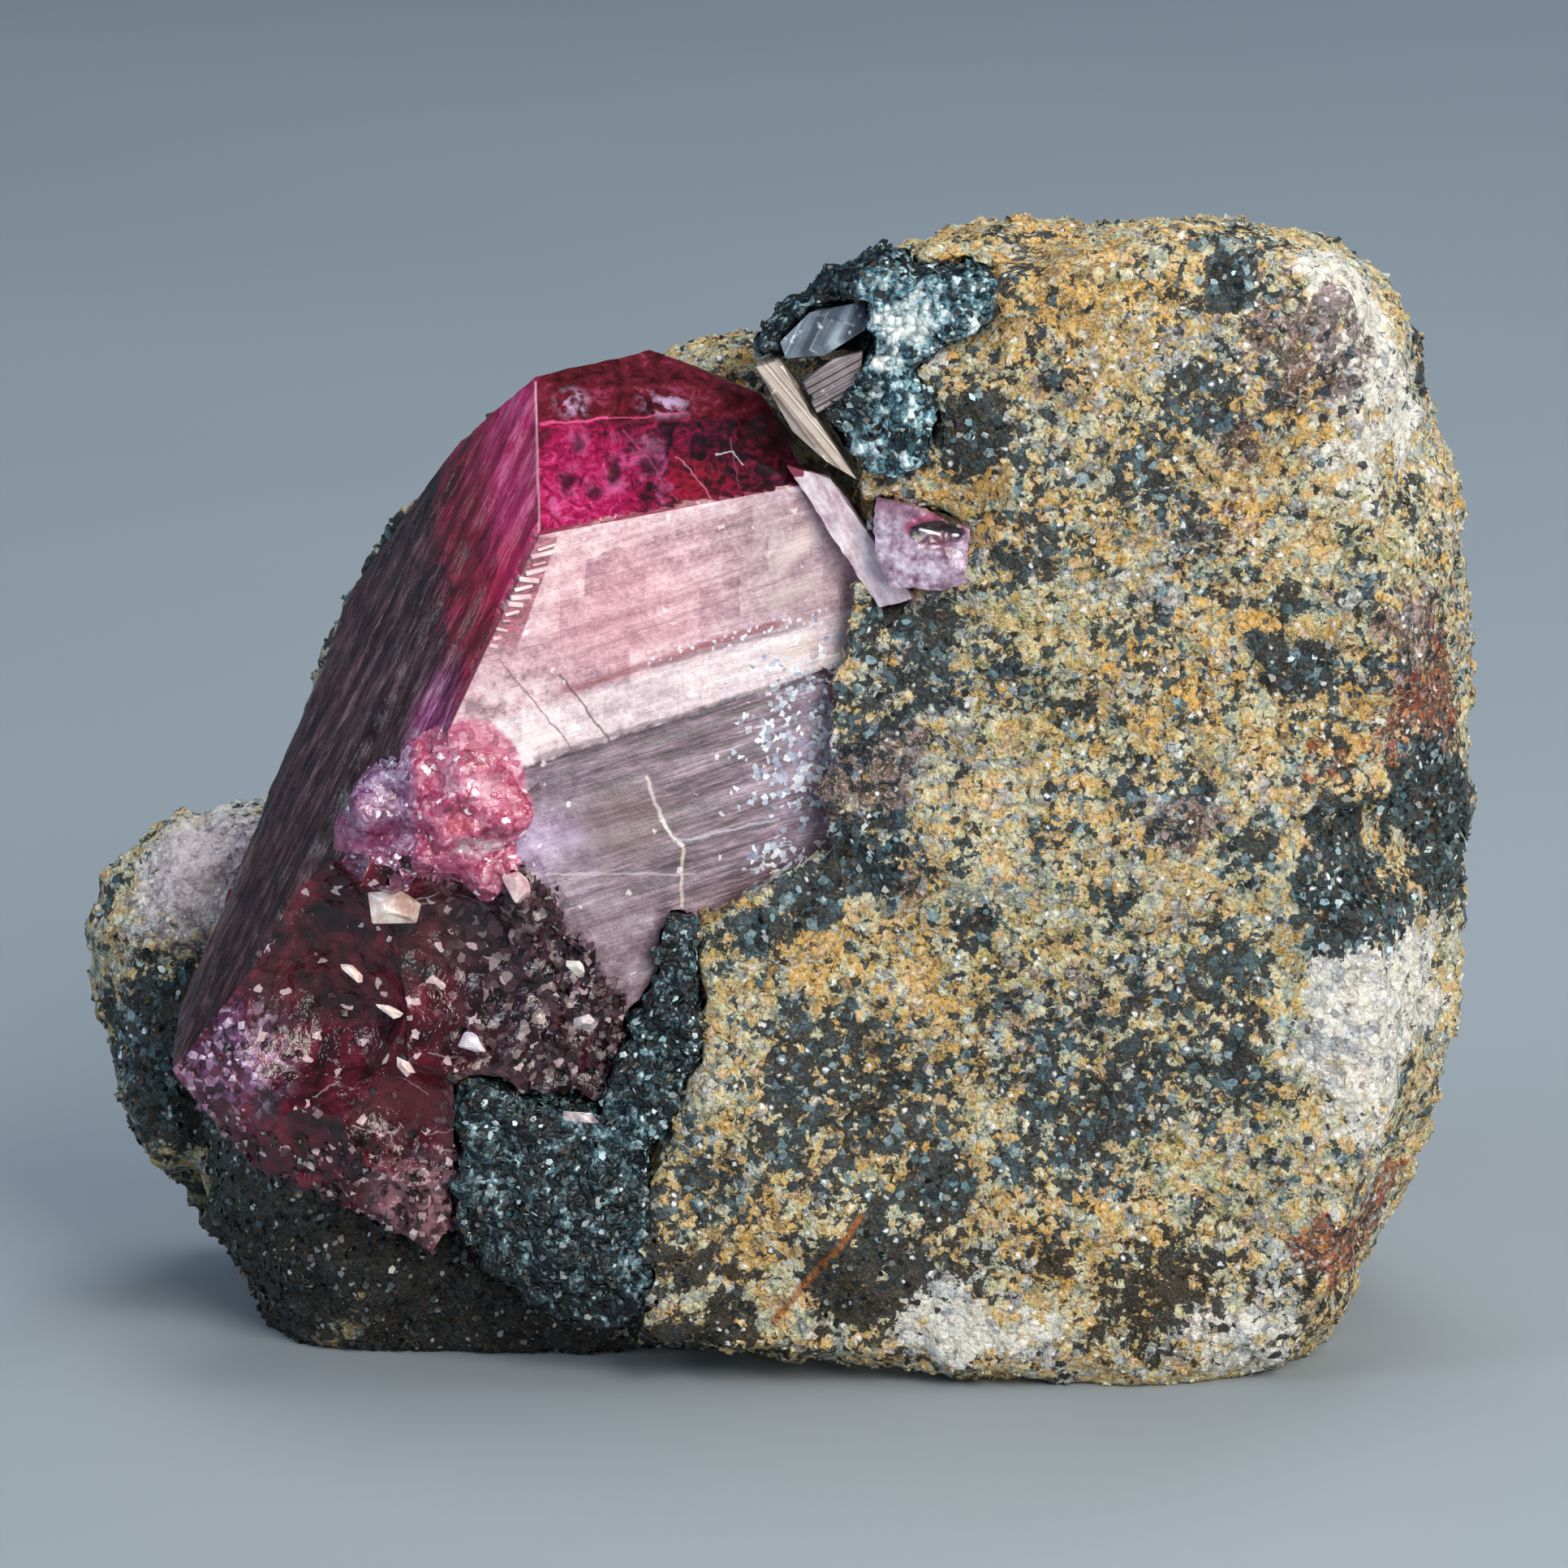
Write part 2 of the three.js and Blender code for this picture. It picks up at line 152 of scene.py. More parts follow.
class Finish:
    """A material in the making. Its pattern reads the place on the piece, in millimetres."""

    def __init__(self, name, **surface):
        self.material = bpy.data.materials.new(name)
        self.material.use_nodes = True
        self.tree = self.material.node_tree
        self.surface = self.tree.nodes["Principled BSDF"]
        for socket, value in surface.items():
            self.surface.inputs[socket.replace("_", " ")].default_value = value
        here = self.node("ShaderNodeTexCoord", {}, "Object")
        self.place = self.moved(here, size=(1 / MM,) * 3, move=-SHIFT / MM)

    def node(self, kind, feeds, output=0, **settings):
        feeds = {socket: getattr(feed, "socket", feed) for socket, feed in feeds.items()}
        return Value(self, add_node(self.tree, kind, feeds, output, **settings))

    def moved(self, place, size=(1, 1, 1), move=(0, 0, 0)):
        feeds = {"Vector": place, "Location": move, "Scale": size}
        return self.node("ShaderNodeMapping", feeds)

    def maths(self, act, a, b=0.0):
        return self.node("ShaderNodeMath", {0: a, 1: b}, operation=act)

    def vectors(self, act, feeds, output=0):
        return self.node("ShaderNodeVectorMath", feeds, output, operation=act)

    def bundle(self, **parts):
        """A place put together from its parts X, Y and Z."""
        return self.node("ShaderNodeCombineXYZ", parts)

    def clouds(self, size, place=None, detail=3.0, rough=0.55, warp=0.0, output=0):
        feeds = {"Vector": place or self.place, "Scale": 1 / size, "Detail": detail}
        feeds.update({"Roughness": rough, "Distortion": warp})
        return self.node("ShaderNodeTexNoise", feeds, output)

    def cells(self, size, place=None, output=0):
        feeds = {"Vector": place or self.place, "Scale": 1 / size}
        return self.node("ShaderNodeTexVoronoi", feeds, output)

    def warped(self, size, reach):
        """The place, pushed about by clouds of one size."""
        push = self.vectors("SUBTRACT", {0: self.clouds(size, output=1), 1: (0.5,) * 3})
        push = self.vectors("SCALE", {0: push, "Scale": reach})
        return self.vectors("ADD", {0: self.place, 1: push})

    def toward(self, place, goal, share):
        """A place moved a share of the way to its goal."""
        return self.node("ShaderNodeMix", {0: share, 4: place, 5: goal}, 1, data_type="VECTOR")

    def grained(self, size, place, share=0.6):
        """A place drawn toward the middle of the grain that it lies in."""
        return self.toward(place, self.cells(size, place, output=2), share)

    def field(self, size, place, order=0, detail=4, rough=0.62):
        """Clouds of their own for each order."""
        there = self.moved(place, move=(17.3 * order, -9.1 * order, 5.7 * order))
        return self.clouds(size, there, detail, rough)

    def dice(self, colour):
        """Three chances from one colour of a cell."""
        return [self.node("ShaderNodeSeparateColor", {0: colour}, i) for i in range(3)]

    def chances(self, size, place=None):
        """Three chances for each cell of one size."""
        return self.dice(self.cells(size, place, output=1))

    def tint_dice(self):
        """Three chances from the tint that each loose grain has."""
        tint = {"W": self.mark("tint")}
        return self.dice(self.node("ShaderNodeTexWhiteNoise", tint, 1, noise_dimensions="1D"))

    def along(self, direction, place=None):
        """How far the place lies along a direction."""
        return self.vectors("DOT_PRODUCT", {0: place or self.place, 1: direction}, "Value")

    def near(self, centre, start, end, squash=(1, 1, 1)):
        """One inside start of a centre, nought beyond end."""
        offset = self.vectors("SUBTRACT", {0: self.place, 1: centre})
        offset = self.vectors("MULTIPLY", {0: offset, 1: squash})
        return self.vectors("LENGTH", {0: offset}, "Value").fade(end, start)

    def stroke(self, start, end, width):
        """A line between two places (x, z) on a face that looks to the front."""
        run = Vector((end[0] - start[0], end[1] - start[1]))
        way = run.normalized()
        across = self.along((-way.y, 0, way.x))
        offset = self.maths("ABSOLUTE", across - (-way.y * start[0] + way.x * start[1]))
        length = self.along((way.x, 0, way.y))
        first = way.x * start[0] + way.y * start[1]
        last = first + run.length
        inside = length.fade(first - width, first + width) * length.fade(last + width, last - width)
        return offset.fade(width * 2.0, width * 0.4) * inside

    def lines_over(self, colour, table, place):
        """Draws lines over a colour, each with its two ends, width, strength and colour code."""
        straight, self.place = self.place, place
        for start, stop, width, strength, code in table:
            colour = colour.mix(self.stroke(start, stop, width) * strength, code)
        self.place = straight
        return colour

    def mark(self, name):
        """A mark that the mesh carries from point to point."""
        return self.node("ShaderNodeAttribute", {}, 2, attribute_name=name)

    def mix(self, factor, a, b):
        """Colour a where the factor is nought, colour b where it is one."""
        a, b = [ink(c) if isinstance(c, str) else c for c in (a, b)]
        return self.node("ShaderNodeMix", {0: factor, 6: a, 7: b}, 2, data_type="RGBA")

    def dress(self, colour, roughness=None, bump=None, depth=0.2, **sockets):
        """Feeds the surface its colour, and a relief of some depth in millimetres."""
        feeds = {"Base Color": colour, "Roughness": roughness}
        if bump is not None:
            relief = {"Height": bump, "Strength": 1.0, "Distance": depth * MM}
            feeds["Normal"] = self.node("ShaderNodeBump", relief)
        feeds.update({name.replace("_", " "): feed for name, feed in sockets.items()})
        for socket, feed in feeds.items():
            if feed is not None:
                self.tree.links.new(feed.socket, self.surface.inputs[socket])
        return self.material


# Work on pieces


def only(piece):
    """Makes one piece the only one selected."""
    bpy.ops.object.select_all(action="DESELECT")
    piece.select_set(True)
    bpy.context.view_layer.objects.active = piece


def merge(piece, reach):
    """Merges the points that lie within a reach in millimetres."""
    only(piece)
    bpy.ops.object.mode_set(mode="EDIT")
    bpy.ops.mesh.select_all(action="SELECT")
    bpy.ops.mesh.remove_doubles(threshold=reach * MM)
    bpy.ops.object.mode_set(mode="OBJECT")


def copy_of(node, name):
    """A merged copy of a solid, to work on."""
    piece = bpy.data.objects.new(name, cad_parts[node].data.copy())
    bpy.context.scene.collection.objects.link(piece)
    piece.data.name = name
    piece.data.materials.clear()
    merge(piece, 0.001)
    return piece


def apply(piece, kind, **settings):
    """Adds a modifier and makes it part of the mesh."""
    only(piece)
    modifier = piece.modifiers.new(kind.lower(), kind)
    for name, value in settings.items():
        setattr(modifier, name, value)
    bpy.ops.object.modifier_apply(modifier=modifier.name)


def skin(piece, relief):
    """Moves each point of a skin out by its relief at that place, in millimetres."""
    points = [(v, drawn(v.co), v.normal.copy()) for v in piece.data.vertices]
    for point, place, out in points:
        point.co += out * (relief(place, out) * MM)
    piece.data.update()


def settle(piece):
    """Keeps a piece above the plane that it stands on."""
    for point in piece.data.vertices:
        point.co.z = max(point.co.z, 0.0)


def waves(place, *kinds):
    """Smooth lumps at a place: for each kind its height and its size."""
    return sum(height * noise.noise(place / size) for height, size in kinds)


def pebbles(place, height, size, middle=0.4):
    """Rounded lumps with narrow valleys between them."""
    return height * (middle - noise.voronoi(place / size)[0][0])


def smooth_by(piece, degrees):
    only(piece)
    bpy.ops.object.shade_smooth_by_angle(angle=math.radians(degrees))


def join(pieces, name):
    """One piece of several."""
    only(pieces[0])
    for piece in pieces:
        piece.select_set(True)
    bpy.ops.object.join()
    pieces[0].name = pieces[0].data.name = name
    return pieces[0]


def hand_over(piece, slot, finishes, *nodes):
    """Gives a piece its materials and what it rides on, and hides the solids that it stands for. The
    slot is not used.
    """
    for finish in finishes:
        piece.data.materials.append(finish)
    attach(piece, "root")
    if nodes:
        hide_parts(*nodes)


def write_mark(mesh, name, values, domain="POINT"):
    mark = mesh.attributes.new(name, "FLOAT", domain)
    mark.data.foreach_set("value", np.asarray(values, dtype=np.float32))


def patch_marks(piece, patches):
    """Writes how strongly each kind of patch shows at every point of a skin, with ragged edges."""
    places = np.array([drawn(v.co)[:] for v in piece.data.vertices])
    ragged = [noise.noise(Vector(p) / 1.3) + 0.5 * noise.noise(Vector(p) / 0.5) for p in places]
    for name, spots in patches.items():
        total = np.zeros(len(places))
        for *centre, reach, strength in spots:
            away = np.linalg.norm(places - np.array(centre), axis=1) / reach
            rise = np.clip((1.15 - away + 0.45 * np.array(ragged)) / 0.5, 0, 1)
            total = np.maximum(total, strength * rise * rise * (3 - 2 * rise))
        write_mark(piece.data, name, total)


def thin_mark(piece, name, thinned):
    """A second mark, strong only where the first one is near full strength."""
    mark = piece.data.attributes[name].data
    values = np.empty(len(mark), dtype=np.float32)
    mark.foreach_get("value", values)
    write_mark(piece.data, thinned, np.clip(values * 2.2 - 1.2, 0, 1))


# Grains: small broken bits scattered over a skin, joined in one mesh


KNOCKS = {"block": 0.28, "lump": 0.22, "plate": 0.16}  # how far the corners of a grain are knocked


def grain_shape(name, kind, seed):
    """One small grain, about two across, with its corners knocked about."""
    chance = random.Random(seed)
    if kind == "block":
        bpy.ops.mesh.primitive_cube_add(size=1.5)
    elif kind == "lump":
        bpy.ops.mesh.primitive_ico_sphere_add(subdivisions=1, radius=1)
    else:
        bpy.ops.mesh.primitive_cylinder_add(vertices=5, radius=1, depth=0.22)
    shape = bpy.context.object
    shape.name = name
    knock = KNOCKS[kind]
    for point in shape.data.vertices:
        push = Vector([chance.uniform(-knock, knock) for _ in range(3)])
        if kind == "plate":
            push.z *= 0.15
        point.co += push
    squash = Vector((1, chance.uniform(0.65, 0.95), 1 if kind == "plate" else chance.uniform(0.6, 0.9)))
    for point in shape.data.vertices:
        point.co *= squash
    apply(shape, "TRIANGULATE")
    return shape


def scatter(ground, name, kind, per_mm2, sizes, seed, tilt=math.pi, mark=None, lift=0.0):
    """Sets grains all over a skin, more of them where the mark is strong, each turned its own way."""
    shapes = [grain_shape(f"{name}_{i}", kind, seed + i) for i in range(3)]
    box = bpy.data.collections.new(f"{name}_shapes")
    for shape in shapes:
        box.objects.link(shape)
    piece = bpy.data.objects.new(name, bpy.data.meshes.new(name))
    bpy.context.scene.collection.objects.link(piece)
    tree = bpy.data.node_groups.new(name, "GeometryNodeTree")
    for side in ("INPUT", "OUTPUT"):
        tree.interface.new_socket("Geometry", in_out=side, socket_type="NodeSocketGeometry")

    def node(kind_of, feeds, **settings):
        return add_node(tree, kind_of, feeds, **settings)

    def chance(low, high, order):
        """A number of its own for each grain."""
        feeds = {2: low, 3: high, 8: seed + order}
        return node("FunctionNodeRandomValue", feeds, output=1, data_type="FLOAT")

    def turned(rotation, turn):
        feeds = {"Rotation": rotation, "Rotate By": turn}
        return node("FunctionNodeRotateRotation", feeds, rotation_space="LOCAL")

    density = per_mm2 / MM**2
    if mark:
        shown = node("GeometryNodeInputNamedAttribute", {"Name": mark}, data_type="FLOAT")
        density = node("ShaderNodeMath", {0: shown, 1: density}, operation="MULTIPLY")
    ground_mesh = node("GeometryNodeObjectInfo", {"Object": ground}, output="Geometry")
    feeds = {"Mesh": ground_mesh, "Density": density, "Seed": seed}
    spread = node("GeometryNodeDistributePointsOnFaces", feeds)
    normal, facing = [spread.node.outputs[output] for output in ("Normal", "Rotation")]
    offset = node("ShaderNodeVectorMath", {0: normal, "Scale": lift * MM}, operation="SCALE")
    raised = node("GeometryNodeSetPosition", {"Geometry": spread, "Offset": offset})
    feeds = {0: (-tilt,) * 3, 1: (tilt,) * 3, 8: seed + 1}
    tipped = turned(facing, node("FunctionNodeRandomValue", feeds, data_type="FLOAT_VECTOR"))
    spun = turned(tipped, node("ShaderNodeCombineXYZ", {"Z": chance(0, math.tau, 2)}))
    feeds = {"Collection": box, "Separate Children": True, "Reset Children": True}
    grains = node("GeometryNodeCollectionInfo", feeds)
    feeds = {"Points": raised, "Instance": grains, "Pick Instance": True, "Rotation": spun}
    feeds["Scale"] = chance(sizes[0] * MM, sizes[1] * MM, 3)
    set_down = node("GeometryNodeInstanceOnPoints", feeds)
    feeds = {"Geometry": set_down, "Name": "tint", "Value": chance(0, 50, 4)}
    tinted = node("GeometryNodeStoreNamedAttribute", feeds, data_type="FLOAT", domain="INSTANCE")
    whole = node("GeometryNodeRealizeInstances", {"Geometry": tinted})
    tree.links.new(whole, tree.nodes.new("NodeGroupOutput").inputs[0])
    apply(piece, "NODES", node_group=tree)
    for shape in shapes:
        bpy.data.objects.remove(shape)
    bpy.data.collections.remove(box)
    bpy.data.node_groups.remove(tree)
    settle(piece)
    piece.data.materials.clear()
    piece.data.polygons.foreach_set("material_index", [0] * len(piece.data.polygons))
    return piece


# The rock

# For each kind of patch its spots: x, y and z of the centre, the reach and how strongly it shows
ROCK_PATCHES = {
    "dark": [
        (3.6, -8.3, 24.5, 2.3, 0.62), (2.2, -8.4, 22.6, 1.6, 0.4), (16.4, -8.4, 23.9, 1.1, 1.0),
        (15.6, -8.4, 24.9, 0.8, 0.8), (16.3, -8.3, 26.4, 0.6, 0.7), (5.8, -7.9, 31.6, 1.5, 1.0),
        (6.1, -7.9, 32.8, 0.8, 0.8), (8.6, -7.8, 33.7, 0.5, 1.0), (7.0, -7.7, 33.9, 0.5, 0.7),
        (14.2, -7.6, 37.3, 1.2, 1.0), (13.6, -7.7, 36.3, 0.6, 0.7), (15.0, -8.7, 18.1, 1.3, 0.7),
        (19.5, -8.6, 18.3, 2.6, 1.0), (18.0, -8.7, 16.7, 2.2, 0.95), (21.5, -6.5, 18.4, 2.6, 1.0),
        (20.6, -7.6, 16.9, 1.8, 0.9), (2.8, -8.7, 17.8, 1.5, 0.9), (0.6, -8.8, 16.4, 1.3, 0.85),
        (-0.9, -8.9, 15.4, 1.0, 0.9), (4.9, -9.4, 7.0, 1.3, 0.95), (2.3, -9.6, 3.9, 1.9, 0.95),
        (-2.2, -9.6, 3.0, 1.0, 0.8), (6.0, -8.9, 15.7, 0.9, 0.7), (10.8, -8.8, 16.7, 0.8, 0.6),
        (7.3, -8.2, 27.5, 1.0, 0.5), (10.0, -8.1, 27.4, 0.7, 0.6), (10.0, -9.2, 10.0, 3.4, 0.4),
        (13.6, -9.0, 12.4, 3.2, 0.45), (5.4, -7.6, 37.3, 1.6, 1.0), (12.0, -9.5, 3.2, 2.6, 0.45),
        (1.8, -9.3, 9.6, 3.6, 0.55), (20.2, -8.4, 17.6, 1.8, 1.0), (21.4, -7.2, 19.0, 2.4, 1.0),
        (22.2, -4.6, 17.6, 2.9, 1.0), (19.6, -8.4, 16.2, 1.8, 0.9), (11.5, -8.2, 29.9, 1.6, 0.35),
        (13.5, -7.8, 33.4, 1.6, 0.35), (-9.0, -6.0, 2.0, 7.5, 0.95), (-16.5, -4.0, 4.5, 6.0, 0.95),
        (-20.5, 1.0, 8.5, 3.6, 0.9), (-13.0, 3.5, 25.5, 3.5, 0.95), (-10.0, 5.0, 29.5, 3.0, 0.8),
        (6.0, 10.0, 24.0, 6.5, 0.5), (14.0, 9.0, 12.0, 6.0, 0.55), (-6.0, 9.0, 12.0, 6.0, 0.6),
    ],
    "ochre": [
        (8.6, -7.7, 35.4, 3.2, 0.7), (16.5, -7.9, 32.2, 3.0, 0.9), (13.9, -8.3, 24.8, 3.6, 0.8),
        (17.9, -8.5, 22.1, 1.7, 1.0), (6.0, -8.0, 29.6, 2.2, 0.8), (0.7, -9.0, 14.0, 2.4, 0.9),
        (3.4, -9.2, 10.0, 3.0, 0.8), (5.2, -9.0, 14.4, 2.0, 0.9), (-1.9, -9.5, 5.9, 2.6, 0.8),
        (12.6, -8.0, 29.6, 2.8, 0.6), (8.7, -8.6, 21.0, 2.4, 0.8), (-2.7, -8.8, 16.2, 1.2, 1.0),
        (10.1, -9.5, 4.5, 3.0, 0.7), (2.0, -6.0, 37.4, 9.0, 0.6), (8.0, -6.0, 38.2, 5.0, 0.9),
        (10.0, 8.0, 30.0, 7.0, 0.6), (4.0, 11.0, 12.0, 6.0, 0.6),
    ],
    "pale": [
        (19.6, -7.0, 34.9, 2.6, 0.9), (18.4, -6.0, 37.0, 2.4, 0.85), (21.0, -5.0, 31.8, 2.2, 0.8),
        (18.9, -8.0, 31.3, 2.2, 0.6), (19.3, -9.0, 12.7, 3.0, 1.0), (20.9, -8.0, 14.6, 1.7, 0.9),
        (19.3, -8.6, 9.6, 2.0, 0.7), (22.0, -5.2, 12.8, 2.4, 1.0), (21.4, -7.0, 14.2, 1.6, 0.9),
        (5.0, -9.7, 2.1, 1.6, 0.9), (7.6, -9.7, 1.8, 1.4, 0.6), (15.2, -9.7, 1.8, 2.2, 0.6),
        (4.4, -7.7, 34.6, 1.0, 0.8), (1.3, -8.2, 21.8, 0.8, 0.6), (0.0, -8.0, 17.6, 0.9, 0.7),
        (21.0, 2.0, 12.0, 5.0, 0.6), (16.0, 8.5, 34.0, 5.0, 0.6), (-20.0, 0.5, 16.0, 3.6, 0.9),
        (-16.5, 2.5, 18.0, 3.5, 0.6),
    ],
    "plum": [
        (16.7, -7.7, 34.6, 2.2, 0.75), (14.9, -7.7, 36.8, 1.6, 0.5), (14.4, -7.9, 31.7, 1.2, 0.7),
        (21.0, -8.0, 25.0, 2.4, 0.8), (12.9, -8.6, 19.4, 1.6, 0.75), (3.1, -8.5, 21.0, 1.7, 1.0),
        (1.4, -8.6, 20.2, 1.3, 0.9), (8.7, -9.0, 13.0, 1.8, 0.4), (13.9, -8.1, 29.1, 1.3, 0.4),
        (3.4, -8.8, 17.3, 1.2, 0.6), (-17.5, 0.0, 17.0, 3.0, 0.6), (-19.5, 2.0, 12.0, 3.0, 0.5),
    ],
    "rust": [
        (17.8, -8.5, 4.6, 1.6, 1.0), (19.5, -6.0, 5.0, 2.6, 0.8), (20.9, -8.0, 21.8, 2.0, 1.0),
        (21.8, -6.5, 23.6, 1.6, 0.8), (21.6, -5.4, 22.0, 2.3, 1.0), (20.2, -8.0, 30.4, 1.1, 0.7),
        (19.4, -8.5, 21.6, 1.1, 0.7), (17.6, -8.5, 21.0, 0.9, 0.7), (-21.0, 2.0, 17.0, 1.2, 0.7),
        (-3.0, 10.0, 22.0, 3.0, 0.6),
    ],
    "moss": [
        (8.7, -8.9, 15.4, 3.0, 0.7), (14.0, -9.3, 8.6, 3.4, 0.7), (7.3, -8.4, 23.5, 3.0, 0.8),
        (19.2, -8.1, 28.0, 2.0, 0.7), (10.0, -8.0, 27.0, 2.5, 0.5),
    ],
}
CRACK = ((-0.6, 2.3), (2.4, 6.0))  # an ochre crack low on the slab, as (x, z) of its ends
ROCK_GRAIN, MICA_GRAIN = 0.29, 0.24  # across the grains and the scales that the colours show


def rock_relief(place, out):
    """Lumps, grains and crumbs that stand on the broken faces."""
    return 0.1 + waves(place, (0.26, 1.7), (0.2, 0.75)) + pebbles(place, 0.34, 0.95, 0.45)


def rock_finish():
    """Sugary grains that drift from mineral to mineral, with dark mica, blue-grey and chalky specks."""
    rock = Finish("grainy_rock", Roughness=0.7, Specular_IOR_Level=0.45)
    place = rock.warped(0.35, 0.35)
    grains = rock.cells(ROCK_GRAIN, place)
    pick, tone, shade = rock.chances(ROCK_GRAIN, place)
    grained = rock.grained(ROCK_GRAIN, place, 0.5)
    dark, ochre, pale, plum, rust, moss = [rock.mark(kind) for kind in ROCK_PATCHES]

    drift = [rock.field(2.6, place, order, detail=2) - 0.5 for order in (8, 9, 10)]
    hue = rock.field(0.7, grained) + (tone - 0.5) * 0.12
    stops = "0.32 #97a098, 0.41 #c0c2a4, 0.48 #e6dcb6, 0.54 #d3b468, 0.61 #e2ba8e, 0.72 #9f9044"
    colour = hue.ramp(stops)
    honey = hue.ramp("0.34 #8e661c, 0.46 #c99430, 0.57 #e5b154, 0.7 #f0d79c")
    honeyed = rock.field(0.6, grained, 1) + drift[0] * 0.5
    honeyed = (honeyed + ochre * 0.13).fade(0.56, 0.66)
    colour = colour.mix(honeyed * 0.8, honey)
    mossy = (rock.field(0.6, grained, 2) + moss * 0.12).fade(0.56, 0.67)
    colour = colour.mix(mossy * 0.7, shade.ramp("0.1 #6c6c34, 0.6 #a5a45f, 1.0 #d5d6a4"))
    chalky = (rock.field(0.6, grained, 3) + pale * 0.36).fade(0.6, 0.72)
    colour = colour.mix(chalky * 0.88, shade.ramp("0.0 #d2d3cf, 0.4 #f2eee2, 1.0 #fdfcf7"))
    bluish = rock.field(0.42, grained, 4) + drift[1] * 0.5
    bluish = (bluish - ochre * 0.05).fade(0.54, 0.62)
    slate = shade.ramp("0.0 #5d6878, 0.5 #8f9bab, 1.0 #d3dae0")
    colour = colour.mix(bluish * 0.72, slate)
    brown = shade.ramp("0.0 #2b1b1f, 0.5 #5c4145, 1.0 #a48a8e")
    browned = (rock.field(0.42, grained, 5) + plum * 0.32).fade(0.61, 0.72)
    colour = colour.mix(browned * 0.85, brown)
    red = shade.ramp("0.0 #2e0d08, 0.45 #7c2c14, 0.8 #a8481c, 1.0 #d58a3c")
    rusty = (rock.field(0.5, grained, 6) + rust * 0.36).fade(0.66, 0.78)
    colour = colour.mix(rusty * 0.85, red)

    specks = rock.field(0.42, grained, 7, detail=5, rough=0.68) + dark * 0.22
    specks = specks + drift[2] * 0.42
    is_dark = (specks - pale * 0.09).fade(0.53, 0.575)
    mica = shade.ramp("0.0 #070d12, 0.4 #12262f, 0.74 #1f3a47, 0.92 #406774, 1.0 #9bb8c1")
    # Mica specks turn near black towards the floor: painted shade low on the rock.
    mica = mica.mix(rock.along(UP).fade(7.5, 3.5), "#060708")
    colour = colour.mix(is_dark * 0.94, mica)
    crack = rock.stroke(*CRACK, 0.1)
    colour = colour.mix(crack * 0.8, "#a8601c")
    knob = rock.near((-19.8, 0, 16.2), 2.2, 4.6)
    colour = colour.mix(knob * (0.65 - is_dark * 0.45), "#d6c0cc")

    # Fine flecks over the grains: the dark ones are painted shade, the bright ones painted sparkle.
    fine = rock.clouds(0.13, place, detail=3, rough=0.62)
    shaded = 0.66 - pale * 0.5
    colour = colour.mix(fine.fade(0.49, 0.32) * shaded, "#24231f")
    bright = fine.fade(0.53, 0.7) * (0.6 - is_dark * 0.5)
    colour = colour.mix(bright, "#f6f4ea")
    # Painted shade in the crevices between the grains.
    colour = colour.mix(grains.fade(0.5, 0.85) * 0.34, "#2a2622")
    glint = pick.over(0.9) * grains.fade(0.4, 0.15)
    colour = colour.mix(glint, "#fbfcfc")
    shadow = rock.along(UP).fade(7.0, 2.5) * rock.along(RIGHT).fade(-3.5, -7.5)
    colour = colour.mix(shadow * 0.6, "#0b0b0c")
    heights = grains * -0.35 + (fine + rock.clouds(0.45, place, detail=3))
    roughness = 0.8 - is_dark * 0.42
    return rock.dress(colour, roughness, heights, 0.19)


def mica_flake_finish():
    flake = Finish("mica_flakes", Roughness=0.25, Specular_IOR_Level=0.7)
    pick, tone, shade = flake.tint_dice()
    colour = tone.ramp("0.0 #030607, 0.45 #0b1416, 0.75 #1a2e34, 0.93 #4c7881, 1.0 #c0e0e6")
    colour = colour.mix(pick.under(0.06), "#5a4632")
    # Flakes turn near black towards the floor, and their glints fade there: painted shade low on the
    # specimen.
    low = flake.along(UP).fade(7.5, 4.0)
    colour = colour.mix(low * 0.85, "#050607")
    glint = pick.over(0.968) * (1.0 - low * 0.75)
    colour = colour.mix(glint, "#dcecef")
    return flake.dress(colour, 0.16 + shade * 0.3)


def make_rock():
    rock = copy_of("matrix_rock", "rock_skin")
    apply(rock, "REMESH", mode="VOXEL", voxel_size=ROCK_GRAIN * MM)
    skin(rock, rock_relief)
    settle(rock)
    patch_marks(rock, ROCK_PATCHES)
    thin_mark(rock, "dark", "flaky")
    smooth_by(rock, 55)
    finish = rock_finish()
    hand_over(rock, "matrix", [finish], "matrix_rock")
    blocks = scatter(rock, "rock_grains", "block", 2.7, (0.08, 0.17), seed=11, lift=-0.01)
    hand_over(blocks, "matrix", [finish])
    lie = {"tilt": 0.7, "mark": "flaky", "lift": 0.03}
    flakes = scatter(rock, "rock_flakes", "plate", 9, (0.07, 0.18), seed=31, **lie)
    hand_over(flakes, "mica_packed", [mica_flake_finish()])


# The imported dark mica

MICA_PATCHES = {
    "pale": [
        (3.7, -8.6, 35.6, 0.95, 1.0), (4.1, -8.6, 36.4, 0.55, 0.8), (3.2, -8.6, 34.5, 0.75, 1.0),
        (2.8, -8.6, 33.4, 0.5, 0.8), (5.6, -8.8, 36.9, 0.5, 0.5), (-9.9, -9.6, 6.7, 0.45, 1.0),
        (-6.4, -10.0, 10.4, 0.9, 0.6), (-4.2, -10.0, 6.8, 1.0, 0.5), (-4.4, -9.6, 2.6, 1.0, 0.5),
    ],
    "teal": [
        (3.4, -8.8, 35.4, 2.2, 1.0), (4.0, -8.8, 33.2, 1.8, 1.0), (3.2, -8.8, 31.6, 1.9, 1.0),
        (5.4, -8.8, 36.4, 1.5, 0.9), (-5.5, -9.8, 8.5, 1.2, 0.4), (-4.5, -9.8, 4.5, 1.6, 0.35),
    ],
}


def mica_relief(place, out):
    """Crumpled scales, pressed together."""
    return 0.06 + waves(place, (0.3, 0.9), (0.2, 0.4)) + pebbles(place, 0.25, 0.7)


